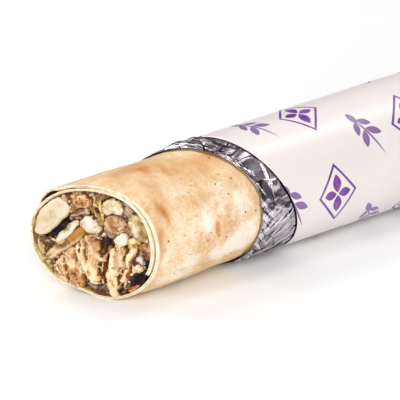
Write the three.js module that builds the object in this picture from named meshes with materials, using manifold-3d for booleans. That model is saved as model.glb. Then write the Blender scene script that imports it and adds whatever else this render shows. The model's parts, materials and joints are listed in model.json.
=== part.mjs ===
// A flatbread wrap filled with chicken julienne, cut through at a slant, in foil and a paper sleeve.
// Millimetres. The roll lies along X on the plane z = 0, with its cut face towards -X.
import * as THREE from 'three';
import { mergeVertices } from 'three/addons/utils/BufferGeometryUtils.js';
import Module from 'manifold-3d';

const wasm = await Module();
wasm.setup();

// Driving sizes of the whole roll
const gap = 0.3; // clearance between pieces that lie against each other
const rollRadius = 26.8; // outside of the bread under the foil
const axisLift = 25.9; // the roll's axis above the flat that its own weight presses into the bread
const cutX = -93.4; // where the slanted cut crosses the axis
const cutSlant = THREE.MathUtils.degToRad(28.5); // the knife's slant, seen from above
const bareFrom = -46; // the bread takes its loose, untucked form from here towards the cut
const bareTo = -74;

// Flatbread: one thin sheet rolled one and a half times round, clockwise in the cut from its free flap
const bread = { thick: 1.2, looseness: 0.25, nearLooseness: 0.6, turns: 1.49, flapAngle: 150, torn: 0.25 };
const breadEnd = 101;
const breadStations = 48;
const breadRings = [0, 6, 14, 22, 30, 37, 44, 52, 64, 82]; // behind the cut, before the far end
const straightBehind = 120; // this far behind the cut, the rings stand square again
// The flap's edge is thin and lies flat. Just behind it the flap stands off in a small hollow, and the sheet
// below it sinks from a little before the edge (in turns)
const flap = { edge: 0.35, thinTurns: 0.05, lift: 0.9, peak: 10, to: 24, sinkFrom: 0.93, sinkTo: 1.05 };
const sectionBumps = [ // how the cut end departs from a circle
  { at: 50, by: 1.2, width: 26 },
  { at: 105, by: -0.5, width: 30 },
  { at: 255, by: -2.1, width: 20 },
];

// Foil sleeve: its crumpled front edge shows between bread and paper
const foil = { thick: 0.35, end: 101.3, edgeX: -24, edgeReach: 16, edgeTurn: 8, crumple: 1.2, hem: 0.6 };
const foilSpans = 7;

// Paper sleeve: a slanted front edge, a glued overlap, and a far end folded flat
const paper = { thick: 0.35, edgeX: -17.5, edgeAcross: 10.5, edgeUp: -8.5, seamAngle: 215, seamWidth: 24 };
const paperEnd = { shoulder: 102.6, face: 107.4, centre: 106.2, pleats: 12, pleatDepth: 0.7 };
const sleeveSides = 60;

// Filling: a packed core that runs through the roll, and the pieces that show in the cut
const core = { recess: 3.6, relief: 1.5, clearance: 0.4, sides: 26, end: 100.4 };
const coreRings = [0, 6, 14, 30, 44, 60, 82]; // behind the cut, before the far end
const pocketReach = 6; // pockets reach this far in front of the cut
const pieceNarrowing = 0.88; // what is left of a piece's width at its far end

// Every piece lies on the slanted face: at [to the right, up] from the axis, its length, width and
// tilt there, how far it bows, how much wider it is at the end it points to, how deep it runs into
// the roll and how far it stands proud of the cut
const pieces = {
  cheese_large: { at: [-21, 7.5], long: 23, wide: 9.5, tilt: 52, bow: 0.5, taper: 0.4, deep: 26, proud: 0.2 },
  white_block: { at: [-2.5, 6.5], long: 9, wide: 7, tilt: -45, bow: 1, taper: -0.1, deep: 20, proud: 0.6 },
  white_arm: { at: [-12.5, 2], long: 17, wide: 3, tilt: 52, bow: 0.5, taper: 0, deep: 18, proud: 0.9 },
  golden_slab: { at: [-14, -3.5], long: 25.5, wide: 4, tilt: 42, bow: 0, taper: 0.1, deep: 22, proud: 0.3 },
  olive_strip: { at: [-17.5, 3.5], long: 16.5, wide: 4.5, tilt: 45, bow: -1.5, taper: -0.4, deep: 12, proud: -1.4 },
  chicken_b: { at: [1.5, -8], long: 22.5, wide: 9.5, tilt: -87, bow: -1.5, taper: -0.35, deep: 34, proud: 2.2 },
  chicken_a: { at: [-7, -11.5], long: 21, wide: 10, tilt: 80, bow: 3, taper: -0.5, deep: 32, proud: 1.2 },
  chicken_c: { at: [11, -11.5], long: 25, wide: 6, tilt: 82, bow: 0.5, taper: 0.4, deep: 38, proud: 1.8 },
  chicken_d: { at: [16.5, -7], long: 21, wide: 3.2, tilt: 70, bow: 0, taper: -0.3, deep: 28, proud: 0.8 },
  chicken_e: { at: [-15, -16.5], long: 11.5, wide: 4.5, tilt: -73, bow: -2.5, taper: 0.2, deep: 26, proud: 0.2 },
  chicken_f: { at: [6.5, -15], long: 12.5, wide: 3.5, tilt: -86, bow: -0.5, taper: -0.6, deep: 22, proud: -2.2 },
  taupe_meat: { at: [9.5, 8], long: 11, wide: 8.5, tilt: 74, bow: 1, taper: 0.3, deep: 24, proud: 0.4 },
  white_cube: { at: [12.5, 3.5], long: 7, wide: 5.5, tilt: 51, bow: -1, taper: -0.1, deep: 9, proud: 0.8 },
  corn_bit: { at: [18.5, 2], long: 5.5, wide: 4, tilt: 38, bow: 0.5, taper: -0.2, deep: 6, proud: 0.4 },
  pale_slice_left: { at: [8.5, 17], long: 9, wide: 6, tilt: 1, bow: 1, taper: 0, deep: 18, proud: 0.2 },
  pale_slice_right: { at: [20, 10], long: 12.5, wide: 6.5, tilt: -72, bow: -0.5, taper: 0.2, deep: 20, proud: 0 },
  pale_slice_top: { at: [-8, 19], long: 7.5, wide: 3.5, tilt: 6, bow: -1, taper: -0.1, deep: 14, proud: -0.4 },
  mushroom_top: { at: [-7, 11], long: 9.5, wide: 3.5, tilt: 27, bow: 0, taper: -0.3, deep: 12, proud: -0.4 },
  mushroom_right: { at: [13.5, 17], long: 7, wide: 5.5, tilt: -104, bow: 2, taper: -0.5, deep: 12, proud: -0.6 },
  mushroom_left: { at: [-22.5, -4], long: 6.5, wide: 3.5, tilt: 23, bow: 0, taper: -0.4, deep: 9, proud: -0.6 },
  mushroom_bottom: { at: [0, -22.5], long: 11.5, wide: 6.5, tilt: -4, bow: 1, taper: 0, deep: 14, proud: -0.8 },
  brown_crumb: { at: [-7.5, 14.5], long: 8.5, wide: 3, tilt: 8, bow: 0.5, taper: -0.4, deep: 9, proud: -0.8 },
  brown_bit: { at: [15.5, 8], long: 6, wide: 3, tilt: -62, bow: 0, taper: -0.4, deep: 7, proud: -0.8 },
  leaf_strip: { at: [2, 15], long: 15, wide: 3.5, tilt: -86, bow: 0.5, taper: -0.1, deep: 20, proud: 0.4 },
  pickle_leaf: { at: [-23.5, -12], long: 17, wide: 3, tilt: -59, bow: -1, taper: -0.1, deep: 16, proud: -1 },
  green_strip: { at: [22.8, 11], long: 10, wide: 2.2, tilt: -65, bow: 0, taper: 0.5, deep: 9, proud: -1 },
  pepper_top: { at: [-1.5, 16.5], long: 7.5, wide: 3, tilt: -50, bow: 0.5, taper: -0.4, deep: 10, proud: 0 },
  pepper_bottom: { at: [18, -18.6], long: 9, wide: 2.5, tilt: 32, bow: 0, taper: -0.1, deep: 9, proud: -0.8 },
  crisp_piece: { at: [25, 0], long: 8, wide: 5.5, tilt: -72, bow: -0.5, taper: -0.4, deep: 11, proud: -0.2 },
  onion_piece: { at: [21.5, -3.5], long: 6, wide: 4, tilt: 78, bow: -0.5, taper: -0.2, deep: 9, proud: -0.4 },
  olive_right: { at: [24.6, -6], long: 5, wide: 4.5, tilt: 44, bow: -0.5, taper: -0.3, deep: 7, proud: -0.8 },
  olive_bottom: { at: [20.6, -13.2], long: 11.5, wide: 5, tilt: 30, bow: -0.5, taper: -0.3, deep: 9, proud: -0.6 },
  cream_bit: { at: [19.5, -9.5], long: 5, wide: 4, tilt: 38, bow: 0, taper: 0.2, deep: 7, proud: -0.6 },
  mince_bottom: { at: [13.5, -20], long: 7, wide: 3, tilt: 59, bow: 0.5, taper: 0.3, deep: 8, proud: -0.6 },
};
const outlineSquareness = 2.8; // between an ellipse (2) and a rounded box (4)
const outlineUnevenness = 0.16; // share of a piece's width
// How torn the outlines of each kind are
const ragged = { chicken: 0.55, taupe: 0.4, crisp: 0.4, mushroom: 0.35, leaf: 0.35, golden: 0.3 };

// Folds where a strip of meat has torn open along its grain
const creases = {
  chicken_a: [
    { at: [-13.5, -18], long: 6.5, wide: 1.2, tilt: -71, bow: 0, taper: 0, deep: 2.2 },
    { at: [-6.5, -6], long: 7.5, wide: 1, tilt: -88, bow: 0.3, taper: 0, deep: 1.6 },
  ],
  chicken_b: [{ at: [-2.6, -5.5], long: 10, wide: 2.2, tilt: -88, bow: 0.4, taper: -0.6, deep: 1.8 }],
  chicken_c: [{ at: [10.4, -4.5], long: 9, wide: 1.1, tilt: 84, bow: 0, taper: 0, deep: 1.6 }],
};

const colours = {
  flatbread: 0xe9cba6, foil: 0xa8a5ad, paper: 0xe9e1d8, filling_core: 0x5a3f24,
  chicken: 0xcf9c6c, taupe: 0xa98872, cheese: 0xeae2cf, white: 0xefe9dc, golden: 0xc08a3c, pale: 0xd8cba6,
  mushroom: 0x6d543f, brown: 0x6a4526, olive: 0x1d1519, leaf: 0xb9aa6c, pickle: 0x8f7d35, green: 0x7c7430,
  pepper: 0xb3602a, corn: 0xdcb25a, crisp: 0x96582a, onion: 0xcfc6bf, cream: 0xd9c3a3, mince: 0x7c5a3e,
};

// Small helpers
const radians = (degrees) => degrees * Math.PI / 180;
const lerp = (a, b, t) => a + (b - a) * t;

function smooth(from, to, value) {
  const t = Math.min(Math.max((value - from) / (to - from), 0), 1);
  return t * t * (3 - 2 * t);
}

// Shortest way round from one angle to another, in degrees
function angleBetween(a, b) {
  return ((a - b) % 360 + 540) % 360 - 180;
}

const bell = (distance, width) => Math.exp(-((distance / width) ** 2));

// An even, repeatable unevenness between -1 and 1
function wave(a, b, seed) {
  return (Math.sin(a * 1.7 + b * 2.3 + seed * 4.1) + Math.sin(a * 3.1 - b * 1.3 + seed * 7.7)
    + Math.sin(a * -2.2 + b * 4.7 + seed * 1.9)) / 3;
}

// A closed skin over rows of points. Each row is a ring. The first and last rows are joined to each
// other, or else have shrunk to a point or a line that closes the end.
function skin(rows, joinEnds = false) {
  const corners = [];
  const triangle = (a, b, c) => {
    if (a.distanceTo(b) > 1e-4 && b.distanceTo(c) > 1e-4 && c.distanceTo(a) > 1e-4) corners.push(a, b, c);
  };
  const last = joinEnds ? rows.length : rows.length - 1;
  for (let i = 0; i < last; i += 1) {
    const here = rows[i];
    const next = rows[(i + 1) % rows.length];
    for (let j = 0; j < here.length; j += 1) {
      const k = (j + 1) % here.length;
      triangle(here[j], next[j], next[k]);
      triangle(here[j], next[k], here[k]);
    }
  }
  return outward(mergeVertices(new THREE.BufferGeometry().setFromPoints(corners), 1e-4));
}

function signedVolume(geometry) {
  const { array } = geometry.attributes.position;
  const order = geometry.index.array;
  const [a, b, c] = [new THREE.Vector3(), new THREE.Vector3(), new THREE.Vector3()];
  let sum = 0;
  for (let i = 0; i < order.length; i += 3) {
    a.fromArray(array, order[i] * 3);
    b.fromArray(array, order[i + 1] * 3);
    c.fromArray(array, order[i + 2] * 3);
    sum += a.dot(b.cross(c)) / 6;
  }
  return sum;
}

// Turns a skin's faces outwards
function outward(geometry) {
  if (signedVolume(geometry) < 0) geometry.index.array.reverse();
  return geometry;
}

function toManifold(geometry) {
  const vertProperties = new Float32Array(geometry.attributes.position.array);
  const triVerts = new Uint32Array(geometry.index.array);
  return new wasm.Manifold(new wasm.Mesh({ numProp: 3, vertProperties, triVerts }));
}

function fromManifold(solid) {
  const mesh = solid.getMesh();
  const geometry = new THREE.BufferGeometry();
  geometry.setAttribute('position', new THREE.BufferAttribute(mesh.vertProperties, 3));
  geometry.setIndex(new THREE.BufferAttribute(mesh.triVerts, 1));
  return geometry;
}

// The roll's form, shared by bread, foil and paper. Angles in degrees: 0 is the near side (-Y),
// 90 the top, 180 the far side.

// How much of the loose, bare form a place along the roll has
const bareness = (x) => 1 - smooth(bareTo, bareFrom, x);

// The bread's underside: on the table where it is bare, lifted by foil and paper where it is wrapped
function breadUnderside(x) {
  const foilLayer = foil.thick + gap;
  const paperLayer = paper.thick + gap;
  return paperLayer * smooth(-50, -32, x) + foilLayer * smooth(-66, -42, x);
}

function rollSurface(angle, x) {
  let bump = 0.25 * wave(radians(angle), x / 30, 2);
  sectionBumps.forEach(({ at, by, width }) => {
    bump += by * bell(angleBetween(angle, at), width);
  });
  return rollRadius + bump * bareness(x);
}

// A point of the roll at a radius, with the weight of the roll pressing its underside flat
function rollPoint(angle, radius, x, outside = rollSurface(angle, x)) {
  const under = breadUnderside(x);
  const height = Math.max(radius * Math.sin(radians(angle)), outside - radius - axisLift);
  return new THREE.Vector3(x, -radius * Math.cos(radians(angle)), under + axisLift + height);
}

// Flatbread

function breadPitch(angle) {
  return bread.thick + bread.looseness + bread.nearLooseness * bell(angleBetween(angle, 5), 55);
}

// How deep the sheet's outer face lies after some turns: it stays outermost until it sinks under the flap
function breadDepth(angle, turnsIn) {
  return breadPitch(angle) * smooth(flap.sinkFrom, flap.sinkTo, turnsIn);
}

const breadThickness = (turnsIn) => lerp(flap.edge, bread.thick, smooth(0, flap.thinTurns, turnsIn));

// A line across the sheet from the cut to the far end, at a share of its thickness
function breadLine(turnsIn, share) {
  const past = turnsIn * 360;
  const angle = bread.flapAngle - past;
  const inward = share * breadThickness(turnsIn);
  const hollow = flap.lift * smooth(0, flap.peak, past) * (1 - smooth(flap.peak, flap.to, past));
  const stops = [...breadRings.map((behind) => cutX + behind), breadEnd];
  return stops.map((stop, i) => {
    const slantLeft = Math.tan(cutSlant) * (1 - smooth(cutX, cutX + straightBehind, stop));
    const slide = (radius) => stop + radius * Math.cos(radians(angle)) * slantLeft;
    const near = slide(rollRadius);
    const depth = breadDepth(angle, turnsIn) + inward - hollow * bareness(near);
    const x = slide(rollSurface(angle, near) - depth);
    const outside = rollSurface(angle, x);
    const point = rollPoint(angle, outside - depth, x, outside);
    if (i === 0) point.x += bread.torn * wave(angle / 9, share, 5);
    return point;
  });
}

function makeFlatbread() {
  const row = (turnsIn, outer, inner) => {
    const back = breadLine(turnsIn, inner).reverse();
    return [...breadLine(turnsIn, outer), ...back];
  };
  const rounding = 0.0025;
  const rows = [row(-rounding, 0.5, 0.5)];
  for (let s = 0; s <= breadStations; s += 1) rows.push(row(bread.turns * s / breadStations, 0, 1));
  rows.push(row(bread.turns + rounding, 0.5, 0.5));
  return skin(rows);
}

// How deep the innermost face of the bread lies under the surface, with its inner end stepped over
function innermostDepth(angle) {
  const turnsIn = (((bread.flapAngle - angle) % 360) + 360) % 360 / 360;
  const innerEnd = bread.turns - 1;
  const innerLayer = 1 - smooth(innerEnd + 0.01, innerEnd + 0.05, turnsIn);
  return Math.max(breadDepth(angle, turnsIn), breadPitch(angle) * innerLayer) + bread.thick;
}

// Foil

function foilEdge(angle) {
  const reach = foil.edgeReach + 4 * Math.sin(radians(angle));
  const ragged = 1.4 * wave(radians(angle) * 3, 0, 3) + 0.7 * wave(radians(angle) * 9, 0, 8);
  return foil.edgeX - reach * (1 - Math.cos(radians(angle - foil.edgeTurn))) + ragged;
}

function crumpled(angle, x, across) {
  const large = Math.abs(wave(radians(angle) * 4, x / 5, 6));
  const small = Math.abs(wave(radians(angle) * 9, x / 9, 2));
  const folds = large + 0.6 * small;
  const hem = foil.hem * bell(across, 0.22);
  const pressed = smooth(-0.97, -0.8, Math.sin(radians(angle)));
  return (foil.crumple * folds * smooth(0.85, 0.6, across) + hem) * pressed;
}

function makeFoil() {
  const layer = (lift) => {
    const rings = [];
    for (let i = 0; i <= foilSpans + 1; i += 1) rings.push(ringOfFoil(i, lift));
    return rings;
  };
  return skin([...layer(gap + foil.thick), ...layer(gap).reverse()], true);
}

function ringOfFoil(i, lift) {
  const ring = [];
  for (let j = 0; j < sleeveSides; j += 1) {
    const angle = 360 * j / sleeveSides;
    const across = Math.min(i / foilSpans, 1);
    const shown = lerp(foilEdge(angle), paperEdge(angle) + 2, across);
    const x = i > foilSpans ? foil.end : shown;
    const outside = rollSurface(angle, x);
    ring.push(rollPoint(angle, outside + lift + crumpled(angle, x, across), x, outside));
  }
  return ring;
}

// Paper

const paperInside = foil.thick + gap * 2;

function paperEdge(angle) {
  return paper.edgeX + paper.edgeAcross * Math.cos(radians(angle)) + paper.edgeUp * Math.sin(radians(angle));
}

// The glued overlap is a second thickness that ends in a clean step
function paperOverlap(angle) {
  const before = angleBetween(paper.seamAngle, angle);
  return before >= 0 && before <= paper.seamWidth ? smooth(0, 6, paper.seamWidth - before) : 0;
}

function makePaper() {
  const walls = [0, 0.12, 0.3, 0.55, 0.8, 1];
  const layer = (outer) => {
    const lift = paperInside + (outer ? paper.thick : 0);
    const rings = walls.map((along) => sleeveRing((angle) => {
      const x = lerp(paperEdge(angle), paperEnd.shoulder, along);
      const outside = rollSurface(angle, x);
      const doubled = outer ? paper.thick * paperOverlap(angle) : 0;
      return rollPoint(angle, outside + lift + doubled, x, outside);
    }));
    const inset = outer ? 0 : paper.thick;
    const ends = [
      { scale: 0.975, x: paperEnd.face - 2 - inset, pleat: 0 },
      { scale: 0.8, x: paperEnd.face - inset, pleat: 1 },
      { scale: 0.4, x: paperEnd.face - 0.5 - inset, pleat: 0.6 },
      { scale: 0, x: paperEnd.centre - inset, pleat: 0 },
    ];
    ends.forEach(({ scale, x, pleat }) => rings.push(sleeveRing((angle) => {
      const folded = paperEnd.pleatDepth * pleat * pleatHeight(angle);
      const middle = axisLift + breadUnderside(x);
      const rim = rollPoint(angle, rollRadius + lift, x, rollRadius);
      return new THREE.Vector3(x - folded, rim.y * scale, lerp(middle, rim.z, scale));
    })));
    return rings;
  };
  return skin([...layer(true).reverse(), ...layer(false)]);
}

function sleeveRing(pointAt) {
  return Array.from({ length: sleeveSides }, (_, j) => pointAt(360 * j / sleeveSides));
}

// Each pleat of the folded end leans over the next one
function pleatHeight(angle) {
  return (angle / 360 * paperEnd.pleats) % 1;
}

// Filling

// A place in the cut, to the right and up from the axis on the slanted face, and behind it along X
function cutPoint(right, up, behind) {
  const x = cutX + right * Math.sin(cutSlant) + behind;
  const height = axisLift + breadUnderside(x);
  return new THREE.Vector3(x, -right * Math.cos(cutSlant), height + up);
}

// The room inside the bread, from the given depth behind the cut, with an uneven front
function makeRoom(front, relief) {
  const ring = (scale, stop, slant) => Array.from({ length: core.sides }, (_, j) => {
    const angle = 360 * j / core.sides;
    const x = stop + rollRadius * Math.cos(radians(angle)) * slant;
    const outside = rollSurface(angle, x);
    const wall = rollPoint(angle, outside - innermostDepth(angle) - core.clearance, x, outside);
    const middle = axisLift + breadUnderside(x);
    const point = new THREE.Vector3(stop, wall.y * scale, lerp(middle, wall.z, scale));
    point.x += relief * wave(point.y / 4, point.z / 4, 4) - point.y * slant;
    return point;
  });
  const slant = Math.tan(cutSlant);
  const rows = [0, 0.28, 0.56, 0.82].map((scale) => ring(scale, cutX + front, slant));
  const rim = front + relief;
  const stops = [rim, ...coreRings.filter((behind) => behind > rim)];
  stops.forEach((behind) => rows.push(ring(1, cutX + behind, slant)));
  rows.push(ring(1, core.end, 0), ring(0, core.end, 0));
  return skin(rows);
}

// A rounded outline of the given length and width, bowed and tapered, about the middle of its bow
function pieceOutline(piece, grow) {
  const girth = 2 * (piece.long + piece.wide);
  const sides = Math.min(Math.max(Math.round(girth / 3.6), 8), 16);
  const rag = piece.rag ?? 0;
  return Array.from({ length: sides }, (_, j) => {
    const turn = 2 * Math.PI * j / sides;
    const rounded = (v) => Math.sign(v) * Math.abs(v) ** (2 / outlineSquareness);
    const along = rounded(Math.cos(turn));
    const across = rounded(Math.sin(turn));
    const uneven = outlineUnevenness * wave(1.3 * turn, piece.wide, piece.at[0] + piece.at[1]);
    const torn = rag * wave(3 * turn, piece.long, piece.at[0]);
    const halfWidth = piece.wide / 2 * (1 + piece.taper * along + uneven) + torn;
    return [along * (piece.long / 2 + grow), across * (halfWidth + grow) - piece.bow * along * along];
  });
}

// The outline laid in the cut at its tilt, scaled about its middle, some way behind the cut
function pieceRing(piece, grow, scale, behind, unevenness = 0) {
  const tilt = radians(piece.tilt);
  const narrowed = scale * lerp(1, pieceNarrowing, (behind + pocketReach) / (piece.deep + pocketReach));
  return pieceOutline(piece, grow).map(([along, across]) => {
    const lump = unevenness * wave(along / 2.2, across / 2.2, piece.long);
    const x = along * narrowed;
    const y = across * narrowed + piece.bow;
    const right = piece.at[0] + x * Math.cos(tilt) - y * Math.sin(tilt);
    return cutPoint(right, piece.at[1] + x * Math.sin(tilt) + y * Math.cos(tilt), behind + lump);
  });
}

// A piece runs into the roll from its uneven face in the cut
function makePiece(piece) {
  const face = -piece.proud;
  const large = piece.long > 10;
  const rows = [pieceRing(piece, 0, 0, face - 0.2)];
  if (large) rows.push(pieceRing(piece, 0, 0.55, face, 0.35));
  rows.push(pieceRing(piece, 0, 0.9, face + 0.15, 0.3), pieceRing(piece, 0, 1, face + 1.1, 0.2));
  rows.push(pieceRing(piece, 0, 0.97, piece.deep - 1.5), pieceRing(piece, 0, 0, piece.deep));
  return toManifold(skin(rows));
}

// The hole that a piece leaves in what is packed round it, open towards the cut
function makePocket(piece) {
  const rows = [pieceRing(piece, gap, 0, -pocketReach), pieceRing(piece, gap, 1, -pocketReach)];
  rows.push(pieceRing(piece, gap, 1, piece.deep + gap), pieceRing(piece, gap, 0, piece.deep + gap));
  return toManifold(skin(rows));
}

function makeFilling() {
  const room = toManifold(makeRoom(-pocketReach, 0));
  let packed = toManifold(makeRoom(core.recess, core.relief));
  const earlier = [];
  const solids = {};
  Object.entries(pieces).forEach(([name, sizes]) => {
    const piece = { ...sizes, rag: ragged[name.split('_')[0]] };
    let solid = makePiece(piece).intersect(room);
    earlier.forEach((pocket) => {
      solid = solid.subtract(pocket);
    });
    (creases[name] ?? []).forEach((crease) => {
      solid = solid.subtract(makePocket(crease));
    });
    const pocket = makePocket(piece);
    earlier.push(pocket);
    packed = packed.subtract(pocket);
    solids[name] = fromManifold(solid);
  });
  return { packed: fromManifold(packed), solids };
}

// The assembled wrap

function named(name, geometry, colour, roughness, metalness = 0) {
  const material = new THREE.MeshStandardMaterial({ color: colour, roughness, metalness });
  const mesh = new THREE.Mesh(geometry, material);
  mesh.name = name;
  return mesh;
}

const wrap = new THREE.Group();
wrap.add(named('flatbread', makeFlatbread(), colours.flatbread, 0.75));
wrap.add(named('foil', makeFoil(), colours.foil, 0.3, 1));
wrap.add(named('paper', makePaper(), colours.paper, 0.5));

const filling = makeFilling();
wrap.add(named('filling_core', filling.packed, colours.filling_core, 0.7));
Object.entries(filling.solids).forEach(([name, geometry]) => {
  const kind = name.split('_')[0];
  wrap.add(named(name, geometry, colours[kind], 0.6));
});

export default wrap;
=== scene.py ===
# A cut chicken wrap in its foil and printed paper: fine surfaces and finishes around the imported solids
import json
import math

import bmesh
import bpy
import numpy as np
from mathutils import Matrix, Vector
from mathutils.bvhtree import BVHTree


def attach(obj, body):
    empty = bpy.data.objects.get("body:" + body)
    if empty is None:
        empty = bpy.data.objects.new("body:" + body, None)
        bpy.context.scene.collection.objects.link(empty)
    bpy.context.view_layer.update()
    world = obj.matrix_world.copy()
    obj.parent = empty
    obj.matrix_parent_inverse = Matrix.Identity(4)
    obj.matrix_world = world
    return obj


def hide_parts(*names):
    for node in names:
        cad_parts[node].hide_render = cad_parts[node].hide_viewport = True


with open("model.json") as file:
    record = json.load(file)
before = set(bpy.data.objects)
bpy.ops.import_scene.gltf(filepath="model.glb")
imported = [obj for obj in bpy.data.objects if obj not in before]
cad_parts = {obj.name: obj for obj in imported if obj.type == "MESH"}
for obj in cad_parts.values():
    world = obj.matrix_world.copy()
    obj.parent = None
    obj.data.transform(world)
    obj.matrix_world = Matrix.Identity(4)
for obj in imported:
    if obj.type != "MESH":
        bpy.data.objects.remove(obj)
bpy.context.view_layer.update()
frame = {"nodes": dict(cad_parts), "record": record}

# The roll's form in millimetres, shared by bread, foil and paper.
# Angles are in degrees: 0 is the near side (-Y), 90 the top, 180 the far side.
roll = {
    "radius": 26.8,
    "axisLift": 25.9,  # its own weight presses the underside flat below this
    "cutX": -93.4,
    "cutSlant": math.radians(28.5),
    "bareFrom": -46,  # loose and untucked from here towards the cut
    "bareTo": -74,
    "liftedByPaper": (-50, -32),  # from and to which x these lift it off the ground
    "liftedByFoil": (-66, -42),
    "uneven": 0.25,
    "gap": 0.3,  # between one layer and the next
    "bumps": [(50, 1.2, 26), (105, -0.5, 30), (255, -2.1, 20)],  # at an angle, by, how wide
}
slantTan = math.tan(roll["cutSlant"])


# Small tools

def smooth(low, high, value):
    share = np.clip((value - low) / (high - low), 0, 1)
    return share * share * (3 - 2 * share)


def bell(distance, width):
    return np.exp(-((distance / width) ** 2))


def angleBetween(a, b):
    return ((a - b) % 360 + 540) % 360 - 180


def bellAround(angle, middle, width):  # the same round the roll, in degrees
    return bell(angleBetween(angle, middle), width)


def wave(a, b, seed):  # the same evenly uneven line that the solids have
    return (np.sin(a * 1.7 + b * 2.3 + seed * 4.1) + np.sin(a * 3.1 - b * 1.3 + seed * 7.7)
            + np.sin(a * -2.2 + b * 4.7 + seed * 1.9)) / 3


def latticeValue(cell, seed):
    mixed = cell[..., 0] * 374761393 + cell[..., 1] * 668265263 + cell[..., 2] * 1274126177 + seed * 144665
    mixed = (mixed ^ (mixed >> 13)) * 1103515245
    return ((mixed ^ (mixed >> 16)) & 0xffff) / 32767.5 - 1


def softNoise(points, seed):  # smooth random numbers from -1 to 1 over points in space
    cell = np.floor(points).astype(np.int64)
    part = points - cell
    part = part * part * (3 - 2 * part)
    total = np.zeros(points.shape[:-1])
    for corner in range(8):
        step = np.array([corner & 1, corner >> 1 & 1, corner >> 2 & 1])
        weight = np.prod(np.where(step, part, 1 - part), axis=-1)
        total += weight * latticeValue(cell + step, seed)
    return total


def layeredNoise(points, seed, layers=3, fade=0.5):
    total, strength = 0, 1
    for layer in range(layers):
        total = total + strength * softNoise(points * 2 ** layer, seed + layer * 17)
        strength *= fade
    return total


def flatPoints(*axes):  # coordinates for the noise, from arrays that may differ in shape
    return np.stack(np.broadcast_arrays(*axes), axis=-1).astype(float)


# Form of the roll

def bareness(x):
    return 1 - smooth(roll["bareTo"], roll["bareFrom"], x)


def breadUnderside(x):
    foilLayer = foil["thick"] + roll["gap"]
    paperLayer = paper["thick"] + roll["gap"]
    return paperLayer * smooth(*roll["liftedByPaper"], x) + foilLayer * smooth(*roll["liftedByFoil"], x)


def rollSurface(angle, x):
    bump = roll["uneven"] * wave(np.radians(angle), x / 30, 2)
    for at, by, width in roll["bumps"]:
        bump = bump + by * bellAround(angle, at, width)
    return roll["radius"] + bump * bareness(x)


def rollPoint(angle, radius, x, outside):
    turn = np.radians(angle)
    height = np.maximum(radius * np.sin(turn), outside - radius - roll["axisLift"])
    middle = breadUnderside(x) + roll["axisLift"]
    return flatPoints(x, -radius * np.cos(turn), middle + height)


# Building meshes

def addObject(name, data):
    piece = bpy.data.objects.new(name, data)
    bpy.context.scene.collection.objects.link(piece)
    return piece


def addPiece(name, points, faces, nodes, loopUv=None, shares=None):  # points in millimetres
    mesh = bpy.data.meshes.new(name)
    mesh.from_pydata((points.reshape(-1, 3) / 1000).tolist(), [], faces)
    if loopUv is not None:
        layer = mesh.uv_layers.new(name="sheet")
        layer.data.foreach_set("uv", loopUv.astype(np.float32).ravel())
    setShares(mesh, shares or {})
    shape = bmesh.new()
    shape.from_mesh(mesh)
    bmesh.ops.recalc_face_normals(shape, faces=shape.faces)
    shape.to_mesh(mesh)
    shape.free()
    mesh.shade_smooth()
    return standFor(addObject(name, mesh), nodes)


def setShares(mesh, shares):  # named numbers over the surface, for the materials
    for name, values in shares.items():
        attribute = mesh.attributes.new(name, "FLOAT", "POINT")
        attribute.data.foreach_set("value", np.asarray(values, np.float32).ravel())


def standFor(piece, nodes):
    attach(piece, "root")
    if nodes:
        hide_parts(*nodes)
    return piece


def gridFaces(rows, columns, joinRows=False):  # every row is a closed ring of points
    i = np.arange(rows if joinRows else rows - 1)[:, None]
    j = np.arange(columns)[None, :]
    nextRow = (i + 1) % rows
    nextColumn = (j + 1) % columns
    quads = [i * columns + j, nextRow * columns + j,
             nextRow * columns + nextColumn, i * columns + nextColumn]
    return np.stack(np.broadcast_arrays(*quads), axis=-1).reshape(-1, 4).tolist()


def gridUv(u, v):  # u and v have one column more than the points, for the seam
    uv = np.stack([u, v], axis=-1)
    return np.stack([uv[:-1, :-1], uv[1:, :-1], uv[1:, 1:], uv[:-1, 1:]], axis=2).reshape(-1, 2)


def endCaps(rows, columns):
    return [list(range(columns)), list(range((rows - 1) * columns, rows * columns))]


# Building materials

def ink(red, green, blue):  # a colour as seen on screen, for a shader
    share = np.array([red, green, blue]) / 255
    linear = np.where(share <= 0.04045, share / 12.92, ((share + 0.055) / 1.055) ** 2.4)
    return (*linear.tolist(), 1.0)


def addNode(tree, kind, inputs=None, **settings):
    node = tree.nodes.new(kind)
    for key, value in settings.items():
        setattr(node, key, value)
    for key, value in (inputs or {}).items():
        if isinstance(value, bpy.types.NodeSocket):
            tree.links.new(value, node.inputs[key])
        else:
            node.inputs[key].default_value = value
    return node


def calculate(tree, operation, first, second=0.0, third=0.0, clamp=False):
    values = {0: first, 1: second, 2: third}
    return addNode(tree, "ShaderNodeMath", values, operation=operation, use_clamp=clamp).outputs[0]


def calculateVector(tree, operation, first, second):
    return addNode(tree, "ShaderNodeVectorMath", {0: first, 1: second}, operation=operation).outputs[0]


def times(tree, first, second):
    return calculate(tree, "MULTIPLY", first, second)


def plus(tree, first, second):
    return calculate(tree, "ADD", first, second)


def minus(tree, first, second):
    return calculate(tree, "SUBTRACT", first, second)


def mixColours(tree, share, first, second):
    return addNode(tree, "ShaderNodeMix", {0: share, 6: first, 7: second}, data_type="RGBA").outputs[2]


def paint(tree, base, colour, share, strength=None):  # lays a colour over another by a share
    if strength is not None:
        share = times(tree, share, strength)
    return mixColours(tree, share, base, ink(*colour))


def stepUp(tree, value, low, high):  # 0 below low, 1 above high, soft between
    node = addNode(tree, "ShaderNodeMapRange", {0: value, 1: low, 2: high}, interpolation_type="SMOOTHSTEP")
    return node.outputs[0]


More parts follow.
